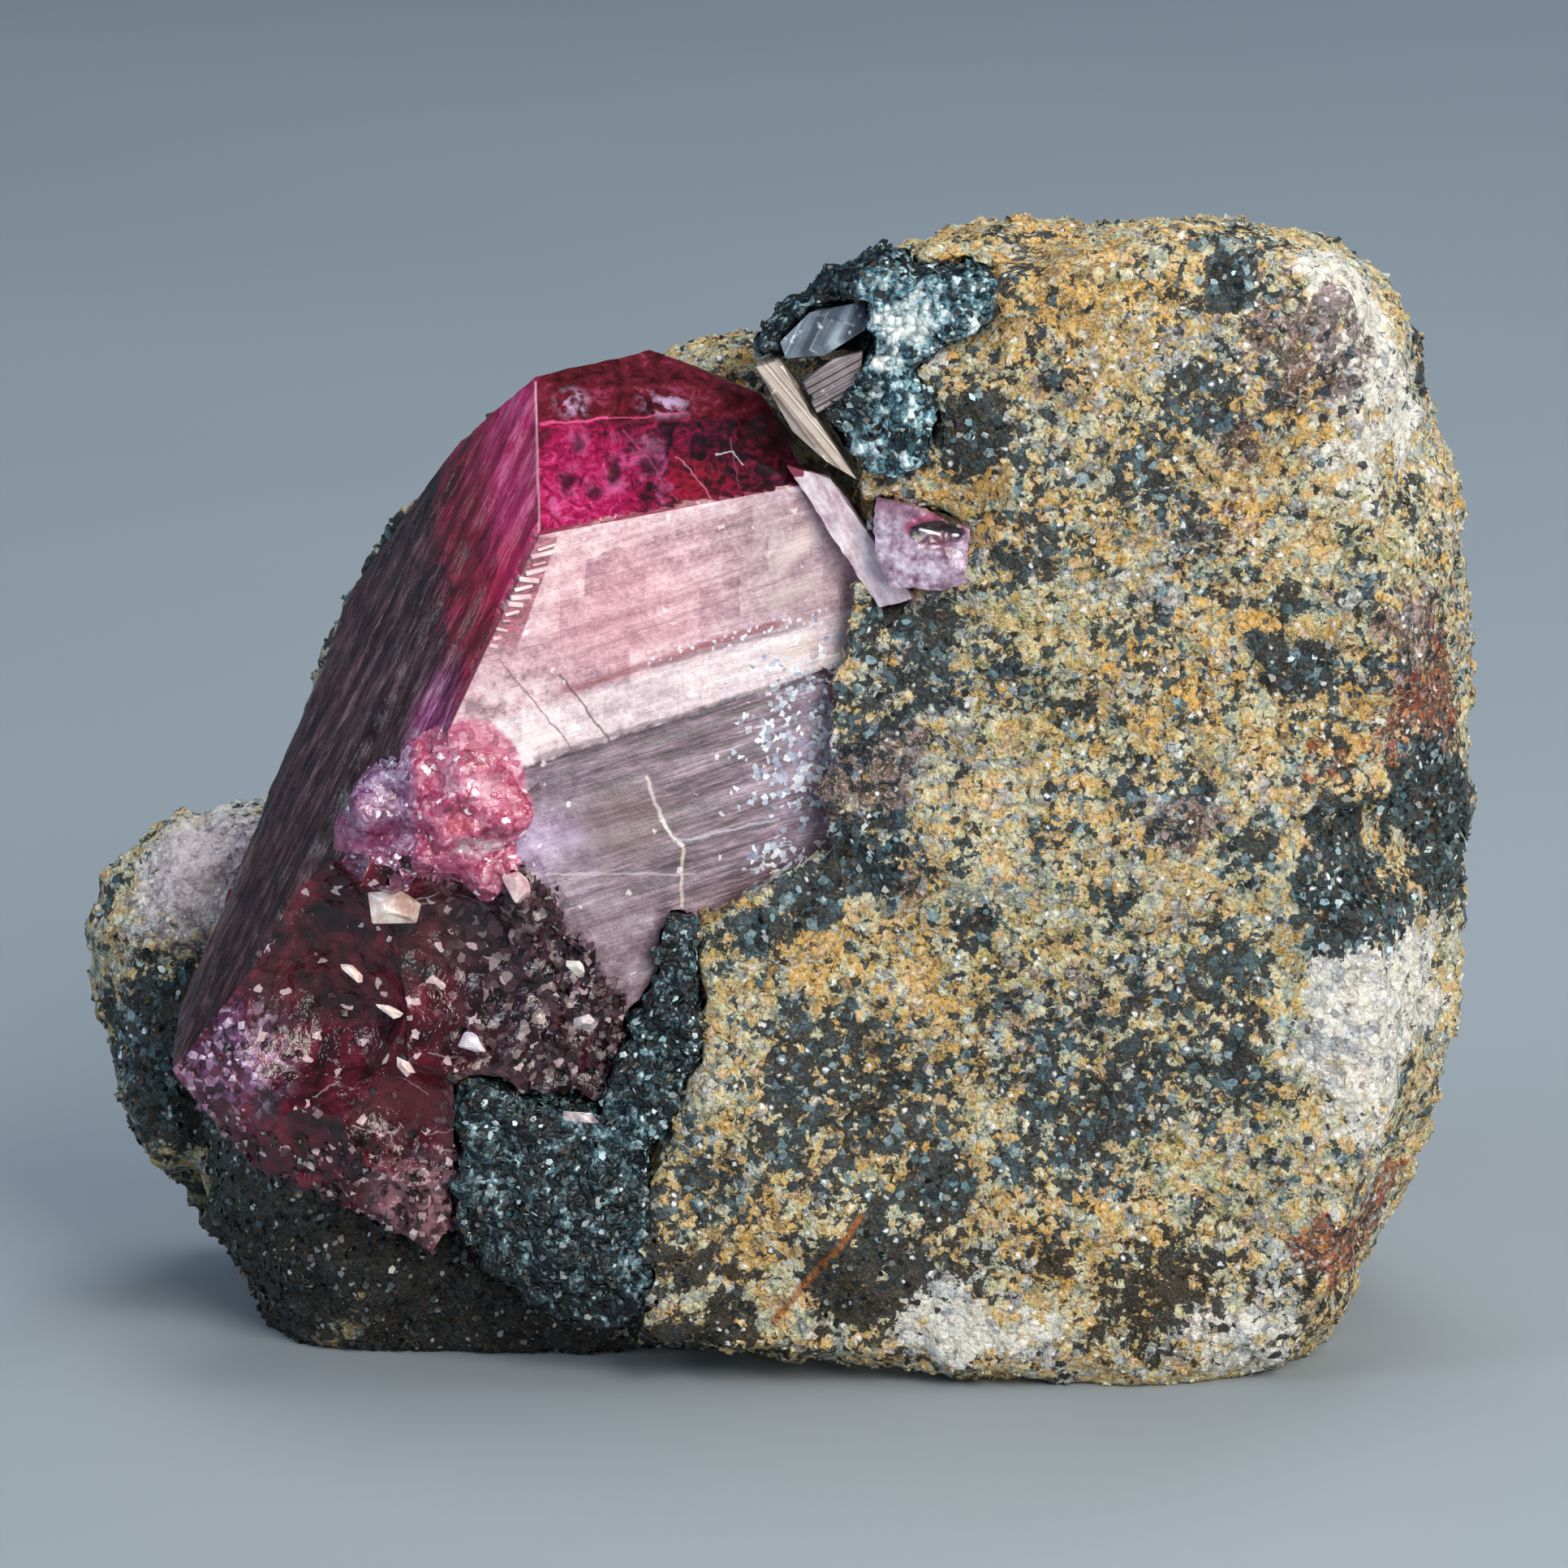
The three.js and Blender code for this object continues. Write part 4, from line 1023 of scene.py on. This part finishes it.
def silk_finish():
    """The big pale face: silky pink panes, fine lines that rise to the right, darker below its step."""
    silk = Finish("silky_ruby_face", Roughness=0.35, IOR=RUBY_IOR, Coat_Weight=0.35, Coat_Roughness=0.22)
    x, height = silk.along(RIGHT), silk.along(UP)
    rise = height - x * LINE_RISE
    lined = silk.bundle(X=x * 0.12, Z=rise)
    lines = silk.clouds(0.28, lined, detail=4, rough=0.7)
    hairs = silk.clouds(0.13, silk.moved(lined, size=(0.5, 1, 1)), detail=3, rough=0.65)
    mottle = silk.clouds(0.6, detail=5, rough=0.65)
    fine = silk.clouds(0.16, detail=3, rough=0.65)
    waver = silk.clouds(1.2, detail=2) * 0.5
    row = silk.maths("FLOOR", (rise + waver) / 1.15)
    column = silk.maths("FLOOR", (x + waver + row * 0.47) / 1.35)
    pane = silk.node("ShaderNodeTexWhiteNoise", {"Vector": silk.bundle(X=column, Y=row)})

    light = lines * 0.42 + (pane * 0.24 + mottle * 0.75)
    light = light + (fine * 0.6 - 0.46)
    pink = light.ramp("0.3 #85606e, 0.44 #b58795, 0.6 #d2a9b4, 0.85 #f0dbdf")
    warm = silk.near((-5.4, -8.3, 26.2), 0.8, 3.2, (0.8, 1, 1))
    pink = pink.mix(warm * 0.45, light.ramp("0.35 #c77f8f, 0.6 #dfa0aa, 0.85 #f0c6ca"))
    right = (x + mottle * 2.0).fade(-2.2, 0.6)
    pink = pink.mix(right * 0.5, light.ramp("0.35 #79646e, 0.6 #a08a92, 0.85 #cbbcc0"))
    pale = light.ramp("0.3 #b096a0, 0.5 #d2bec6, 0.75 #f1e6e8")
    bottom = (rise + (mottle - 0.5) * 0.6).fade(*BAND_TOP)
    colour = pink.mix(bottom * 0.9, pale)
    snow = silk.near((-8.9, -9.1, 21.9), 0.8, 2.2, (1, 1, 0.7))
    colour = colour.mix(snow * mottle.fade(0.35, 0.65), "#eadadd")
    lower = (rise + (mottle - 0.5) * 0.7).fade(*BAND_FOOT)
    dusk = lines * 0.75 + (hairs * 0.5 + mottle * 0.3)
    shaded = dusk.ramp("0.6 #231519, 0.7 #49313a, 0.8 #735a68, 0.9 #9f8596, 1.0 #dccfd8")
    mauve = (mottle * 0.7 + fine * 0.3).ramp("0.34 #4f3a4b, 0.48 #7c6478, 0.6 #a48da8, 0.75 #d0c0d6")
    away = silk.near((-8.0, -9, 18.4), 1.2, 3.0)
    away = away.most(silk.near((1.4, -7, 19.6), 1.0, 2.6, (1, 1, 0.55)))
    shaded = shaded.mix(away * 0.85, mauve)
    umber = silk.near((-5.4, -8.4, 18.9), 0.7, 1.9, (0.7, 1, 1.1))
    shaded = shaded.mix(umber * 0.5, "#6f5350")
    lilac = silk.near((-8.6, -9, 18.6), 0.6, 1.9, (0.8, 1, 1.2))
    shaded = shaded.mix(lilac * 0.6, mottle.ramp("0.36 #8a6a92, 0.5 #b093bd, 0.66 #dccfe8"))
    deep = (height + mottle * 2.0).fade(18.4, 15.6)
    flesh = (mottle * 0.6 + fine * 0.4).ramp("0.36 #523a42, 0.5 #856874, 0.66 #b79fae")
    shaded = shaded.mix(deep * 0.75, flesh)
    colour = colour.mix(lower, shaded)
    colour = silk.lines_over(colour, SILK_LINES, silk.warped(0.7, 0.3))
    # Bluish-white dots along one growth line: painted glints.
    dots = silk.cells(0.22, silk.warped(0.3, 0.2))
    bead_glints = silk.stroke((-4.6, 24.4), (1.2, 25.6), 0.24) * dots.fade(0.36, 0.24)
    colour = colour.mix(bead_glints * 0.85, "#e3e8f4")
    straight, silk.place = silk.place, silk.warped(0.5, 0.45)
    sugared = silk.near((-10.4, -9.2, 20.3), 1.75, 1.95, (1, 0.4, 0.76))
    silk.place = straight
    sugary = mottle * 0.5 + silk.cells(0.2, output=1) * 0.35
    sugary = sugary.ramp("0.22 #7a1a3a, 0.38 #b2406a, 0.52 #cf7d9c, 0.66 #eec8d4")
    colour = colour.mix(sugared * 0.95, sugary)
    frost = silk.near((0.6, -7, 21.4), 0.4, 3.0, (1.0, 1, 0.62))
    frost = frost.most(silk.near((-0.4, -7.2, 17.4), 0.4, 1.5, (1, 1, 1.4)))
    pick, tone, shade = silk.chances(0.17, silk.warped(0.3, 0.2))
    chalk = tone.ramp("0.0 #7f84a0, 0.5 #b4bccf, 1.0 #f2f6fa")
    colour = colour.mix(shade.under(frost * 0.5), chalk)
    colour = colour.mix(pick.over(0.993) * 0.6, "#f7eff0")
    band = (beside_edge(x, height) + (28.7 - height) * 0.09).fade(-0.6, -0.52)
    band = band * ((height + mottle).fade(25.3, 26.0) * height.fade(28.75, 28.6))
    colour = colour.mix(band * 0.9, fine.ramp("0.38 #5a0c24, 0.6 #a8305c"))
    beyond = over_edge(x, height).fade(0.0, 0.04).most(beside_edge(x, height).fade(0.0, 0.04))
    colour = colour.mix(beyond, "#7c0f38")
    rough = 0.26 + mottle * 0.3
    return silk.dress(colour, rough, lines + pane * 0.25 + fine * 0.4, 0.05)


def sugar_finish():
    """Granular ruby: pink and red sugar in front, mauve with glints beside it."""
    glow = {"Subsurface_Weight": 0.4, "Subsurface_Scale": 0.5 * MM}
    sugar = Finish("sugary_ruby", Roughness=0.2, IOR=RUBY_IOR, Coat_Weight=0.2, **glow)
    place = sugar.warped(0.5, 0.4)
    lumps = sugar.cells(0.42, place)
    pick, tone, shade = sugar.chances(0.2, place)
    light = tone * 0.14 + sugar.field(0.85, place, 1, detail=5, rough=0.7) * 0.9
    pink = light.ramp("0.36 #6c1833, 0.46 #b03c64, 0.57 #cd7a99, 0.7 #eec4d2")
    mauve = light.ramp("0.34 #331a36, 0.46 #6c4068, 0.58 #a17fa4, 0.75 #ddd0e4")
    colour = pink.mix(sugar.along(RIGHT).fade(*KNOT_SEAM), mauve)
    crown = (sugar.along((0.35, 0, 1)) + light * 2.6).fade(17.6, 20.4)
    colour = colour.mix(crown * 0.5, "#a23c5c")
    base = (sugar.along((0.5, 0, 1)) + light * 2.0).fade(15.4, 12.8)
    colour = colour.mix(base * 0.55, "#8e2b55")
    waist = sugar.near((-10.2, -9.5, 18.6), 0.2, 0.9, (0.7, 0.5, 1.8))
    colour = colour.mix(waist * sugar.clouds(0.3, detail=3).fade(0.42, 0.55), "#c9b3bb")
    ember = sugar.near((-10.7, -9.6, 19.3), 0.1, 0.7, (0.8, 0.5, 1.4))
    colour = colour.mix(ember * 0.5, "#e0605e")
    colour = colour.mix(lumps.fade(0.45, 0.8) * 0.22, "#5c1930")
    colour = colour.mix(pick.over(0.975), "#f6e9ef")
    return sugar.dress(colour, 0.15 + shade * 0.3, lumps * -1.0, 0.14)


def strip_finish():
    """The pale growth layer beside the big face."""
    strip = Finish("pale_ruby_strip", Roughness=0.45, IOR=CRUST_IOR)
    run = (STRIP[1] - STRIP[0]).normalized()
    lengthwise = strip.along(run)
    sideways = strip.along((run.z, 0, -run.x))
    lined = strip.bundle(X=lengthwise * 0.3, Z=sideways)
    grain = strip.clouds(0.22, lined, detail=4, rough=0.65)
    light = grain * 0.45 + strip.clouds(0.7, detail=5, rough=0.65) * 0.55
    colour = light.ramp("0.34 #8a6a7a, 0.45 #bda0ae, 0.56 #dccdd4, 0.7 #f6f2f4")
    bluish = strip.clouds(0.9, detail=3).fade(0.5, 0.66)
    colour = colour.mix(bluish * 0.4, "#a9a9c6")
    return strip.dress(colour, None, light, 0.1)


def make_ruby():
    ruby = copy_of("ruby_crystal", "ruby_skin")
    apply(ruby, "REMESH", mode="SHARP", octree_depth=8, scale=0.7, use_remove_disconnected=False)
    regions = [ruby_region(drawn(p.center), p.normal) for p in ruby.data.polygons]
    skins = [(drawn(v.co), ruby_region(drawn(v.co), v.normal)) for v in ruby.data.vertices]
    skin(ruby, ruby_relief)
    settle(ruby)
    order = {"end": 0, "flank": 0, "foot": 0, "silk": 1, "knot": 2, "strip": 3}
    ruby.data.polygons.foreach_set("material_index", [order[region] for region in regions])
    for name in ("flank", "foot"):
        write_mark(ruby.data, name, [region == name for region in regions], "FACE")
    write_mark(ruby.data, "crumbs", [crumb_odds(place) * (region == "foot") for place, region in skins])
    write_mark(ruby.data, "sugar", [region == "knot" for _, region in skins])
    smooth_by(ruby, 30)
    finishes = ruby_finish(), silk_finish(), sugar_finish(), strip_finish()
    hand_over(ruby, "ruby", finishes, "ruby_crystal")
    crumbs = scatter(ruby, "foot_crumbs", "block", 11, (0.05, 0.17), seed=71, mark="crumbs", lift=0.03)
    hand_over(crumbs, "ruby", [crumb_finish()])
    sugar = scatter(ruby, "knot_sugar", "lump", 1.6, (0.04, 0.11), seed=81, mark="sugar", lift=0.0)
    hand_over(sugar, "ruby", [sugar_grain_finish()])


def crumb_odds(place):
    """Where broken bits lie on the ruby's foot: on its right, tip, tail, top and lower rim."""
    if place.z > 18 or place.y > -3.5:
        return 0.0
    band = max(0.0, 1 - abs(place.x + 7.0 + 0.25 * (place.z - 14)) / 1.9) * (place.z > 10)
    tip = max(0.0, 1 - (place - Vector((-18.7, -6.9, 10.5))).length / 2.4)
    tail = max(0.0, 1 - (place - Vector((-12.2, -8.8, 6.2))).length / 2.8)
    top = 0.5 * max(0.0, 1 - abs(place.z - 17.6) / 1.2) * (place.x > -15)
    low = 0.4 * (place.z < 8.5)
    return min(1.0, max(band, tip, tail, top, low, 0.05))


def crumb_finish():
    crumb = Finish("foot_crumbs", Roughness=0.3, IOR=CRUST_IOR)
    pick, tone, shade = crumb.tint_dice()
    colour = tone.ramp("0.0 #0f0809, 0.4 #2e161d, 0.7 #553841, 0.9 #85666f, 1.0 #d8c8c8")
    tip = crumb.near((-18.6, -6.9, 10.6), 1.0, 3.2)
    violet = tone.ramp("0.0 #2d1733, 0.5 #8a5683, 1.0 #dcc4dd")
    colour = colour.mix(tip, violet)
    colour = colour.mix(pick.under(0.12), "#0b1213")
    return crumb.dress(colour, 0.15 + shade * 0.35)


def sugar_grain_finish():
    grain = Finish("knot_sugar", Roughness=0.25, IOR=RUBY_IOR)
    _, tone, shade = grain.tint_dice()
    pink = tone.ramp("0.0 #8c3350, 0.4 #b95f7f, 0.75 #d491a8, 1.0 #f4d6de")
    mauve = tone.ramp("0.0 #40264a, 0.4 #75507a, 0.75 #a78ab0, 1.0 #e3d6ea")
    colour = pink.mix(grain.along(RIGHT).fade(*KNOT_SEAM), mauve)
    return grain.dress(colour, 0.12 + shade * 0.25)


# Shards and slivers that lie on the ruby's foot, and the small steps down its front edge

# Centre, length, width, thickness, how far it tips and spins in degrees, colour code
SHARDS = [
    ((-12.9, -8.7, 16.2), 2.1, 1.3, 0.3, (74, 12), "#b98f80"),
    ((-14.3, -8.5, 14.0), 0.9, 0.35, 0.2, (20, 40), "#cfa99c"),
    ((-13.1, -8.9, 12.8), 1.0, 0.35, 0.2, (30, 30), "#d9b3a8"),
    ((-13.6, -8.4, 17.0), 0.8, 0.4, 0.3, (20, 20), "#d6c0b8"),
    ((-12.6, -8.9, 10.9), 0.9, 0.4, 0.2, (60, 50), "#c9a39a"),
    ((-10.4, -9.4, 11.8), 1.3, 0.7, 0.25, (78, 35), "#cfc4da"),
    ((-8.9, -9.5, 17.2), 1.2, 0.9, 0.6, (10, 60), "#c08f9c"),
    ((-6.8, -10.4, 9.6), 1.4, 0.35, 0.3, (20, 10), "#6f5f78"),
    ((-6.6, -9.6, 12.6), 1.0, 0.6, 0.5, (50, 10), "#a99aa6"),
    ((-6.9, -9.5, 14.4), 0.8, 0.5, 0.4, (30, 50), "#cfc6b4"),
]
LADDER = ((-8.0, -9.05, 28.5), (-9.9, -9.4, 25.0))  # the ends of the stepped edge
LADDER_STEPS = 13


def shard_finish(name, code):
    shard = Finish(name, Roughness=0.25, IOR=CRUST_IOR, Coat_Weight=0.3)
    light = shard.clouds(0.5, detail=4)
    colour = shard.mix(light.fade(0.3, 0.7), code, "#efe3dd")
    return shard.dress(colour, None, light, 0.06)


def make_shards():
    for order, (centre, length, width, thick, turns, code) in enumerate(SHARDS):
        form = {"radius1": 0.5, "radius2": 0.34, "depth": 1}
        bpy.ops.mesh.primitive_cone_add(vertices=5, end_fill_type="TRIFAN", **form)
        shard = bpy.context.object
        shard.name = f"foot_shard_{order}"
        chance = random.Random(order)
        for point in shard.data.vertices:
            point.co += Vector([chance.uniform(-0.16, 0.16) for _ in range(3)])
        tip, spin = [math.radians(angle) for angle in turns]
        turned = Matrix.Rotation(spin, 4, "Y") @ Matrix.Rotation(tip, 4, "X")
        size = Matrix.Diagonal(Vector((length, width, thick, 1 / MM)) * MM)
        shard.data.transform(Matrix.Translation(placed(*centre)) @ turned @ size)
        apply(shard, "BEVEL", width=0.04 * MM, segments=1, limit_method="NONE")
        hand_over(shard, "ruby", [shard_finish(f"shard_{order}", code)])


def make_ladder():
    """Small stepped facets down the edge between the pale face and the flank."""
    start, end = [Vector(p) for p in LADDER]
    chance = random.Random(4)
    steps = []
    for i in range(LADDER_STEPS):
        t = (i + 0.5) / LADDER_STEPS
        slip = Vector((0.24 + chance.uniform(-0.1, 0.06), 0.14, chance.uniform(-0.03, 0.03)))
        centre = start.lerp(end, t) + slip
        bpy.ops.mesh.primitive_cube_add(size=1)
        step = bpy.context.object
        length, thick = (0.85 - 0.45 * t) * chance.uniform(0.5, 1.15), chance.uniform(0.06, 0.18)
        size = Matrix.Diagonal(Vector((length, 0.4, thick, 1 / MM)) * MM)
        tilt = math.radians(chance.uniform(-18, 14))
        turned = Matrix.Rotation(tilt, 4, "Y") @ Matrix.Rotation(math.radians(14), 4, "Z")
        step.data.transform(Matrix.Translation(placed(*centre)) @ turned @ size)
        steps.append(step)
    ladder = join(steps, "edge_steps")
    apply(ladder, "BEVEL", width=0.03 * MM, segments=1)
    hand_over(ladder, "ruby", [shard_finish("edge_steps", "#d7a3b4")])


# The small ruby in its socket

SOCKET = Vector((4.75, -9.5, 28.85))


def small_ruby_relief(place, out):
    reach = Vector(((place.x - SOCKET.x) * 0.95, 0, (place.z - SOCKET.z) * 2.0)).length
    dent = 0.5 * max(0.0, 1 - reach) * (out.y < -0.4)
    return waves(place, (0.12, 0.7), (0.06, 0.25)) - dent


def small_ruby_finish():
    """Frosty lilac, with a glossy hollow under a magenta rim that is painted dark as shade, and a
    painted glint at its edge.
    """
    small = Finish("small_ruby", Roughness=0.3, IOR=RUBY_IOR, Coat_Weight=0.25)
    light = small.clouds(0.7, detail=5, warp=0.5) * 0.65 + small.clouds(0.2, detail=3) * 0.35
    colour = light.ramp("0.36 #6b4660, 0.46 #9d8098, 0.56 #c6b3c6, 0.7 #efe8f0")
    brow = (small.along((0.1, 0, 1)) + light * 0.8).fade(29.9, 30.4)
    colour = colour.mix(brow * 0.6, "#84405e")
    squash = (0.95, 0.1, 2.1)
    rim = small.near(SOCKET + Vector((-0.05, 0, 0.16)), 0.85, 1.15, squash)
    colour = colour.mix(rim * 0.85, "#9c2b5e")
    # The dented socket is painted near black: painted shade in the hollow.
    hollow = small.near(SOCKET, 0.78, 0.95, squash)
    colour = colour.mix(hollow, "#14060b")
    floor = small.near(SOCKET + Vector((0.05, 0, -0.3)), 0.5, 0.72, squash)
    colour = colour.mix(floor * 0.6, "#7b4a63")
    glint = small.near(SOCKET + Vector((0.62, 0, -0.12)), 0.08, 0.16, squash)
    glint = glint.most(small.stroke((4.2, 28.95), (4.9, 28.72), 0.035))
    colour = colour.mix(glint, "#f4eef4")
    return small.dress(colour, None, light, 0.12)


def make_small_ruby():
    small = copy_of("small_ruby", "small_ruby_skin")
    apply(small, "REMESH", mode="SHARP", octree_depth=6, scale=0.8, use_remove_disconnected=False)
    skin(small, small_ruby_relief)
    smooth_by(small, 35)
    hand_over(small, "pink_ruby", [small_ruby_finish()], "small_ruby")


# Floor, light and camera

PHOTO_SIDE = 1932  # pixels
MM_PER_PIXEL = 0.02714
LOOK_AT = (-0.18, 0, 18.2)
LOOK_DOWN = 14  # degrees
DISTANCE = 350  # from the camera to the specimen's middle
SENSOR = 36
FLOOR_SIZE = 3  # metres
FLOOR_DROP = 0.02  # how far the floor lies under the specimen, in millimetres


def make_floor():
    bpy.ops.mesh.primitive_plane_add(size=FLOOR_SIZE, location=(0, 0, -FLOOR_DROP * MM))
    floor = bpy.context.object
    floor.name = "floor"
    floor.data.transform(floor.matrix_world)
    floor.matrix_world = Matrix.Identity(4)
    paper = Finish("pale_floor", Roughness=0.7)
    shade = paper.clouds(60, detail=2)
    floor.data.materials.append(paper.dress(paper.mix(shade, "#8d979e", "#98a2a9")))


# Each soft light: azimuth and elevation in degrees, distance and size in metres, power, tint
SOFTBOXES = {
    "key_softbox": (28, 34, 0.34, 0.16, 0.9, "#fff6ea"),
    "front_softbox": (24, 4, 0.42, 0.14, 0.5, "#ffffff"),
    "left_softbox": (-62, 30, 0.36, 0.14, 0.42, "#e6f0ff"),
    "right_softbox": (78, 26, 0.36, 0.14, 0.4, "#fffaf2"),
    "top_softbox": (165, 76, 0.34, 0.16, 0.5, "#ffffff"),
    "rim_softbox": (150, 35, 0.4, 0.14, 0.25, "#dfeaff"),
}


def softbox(name, azimuth, elevation, distance, size, watts, tint):
    """A square soft light that looks at the specimen. Azimuth 0 is in front and 90 to the right."""
    a, e = math.radians(azimuth), math.radians(elevation)
    back = Vector((math.sin(a) * math.cos(e), -math.cos(a) * math.cos(e), math.sin(e)))
    bpy.ops.object.light_add(type="AREA", location=placed(*LOOK_AT) + back * distance)
    light = bpy.context.object
    light.name = name
    light.rotation_euler = (-back).to_track_quat("-Z", "Y").to_euler()
    light.data.size = size
    light.data.energy = watts
    light.data.color = ink(tint)[:3]
    light.visible_glossy = light.visible_transmission = back.y < 0.1


def make_light_and_camera():
    for name, spec in SOFTBOXES.items():
        softbox(name, *spec)
    world = bpy.data.worlds.new("studio")
    world.use_nodes = True
    sky = world.node_tree.nodes["Background"].inputs
    sky["Color"].default_value = ink("#64798a")
    sky["Strength"].default_value = 0.75
    bpy.context.scene.world = world
    down = math.radians(LOOK_DOWN)
    back = Vector((0, -math.cos(down), math.sin(down)))
    place = placed(*LOOK_AT) + back * DISTANCE * MM
    bpy.ops.object.camera_add(location=place, rotation=(math.pi / 2 - down, 0, 0))
    camera = bpy.context.object
    camera.data.sensor_width = SENSOR
    camera.data.lens = SENSOR * DISTANCE / (PHOTO_SIDE * MM_PER_PIXEL)
    camera.data.clip_start = 0.01
    bpy.context.scene.camera = camera
    bpy.context.scene.view_settings.view_transform = "Standard"


make_light_and_camera()
make_floor()
make_rock()
make_packed_mica()
make_flat_mica()
make_ruby()
make_shards()
make_ladder()
make_small_ruby()
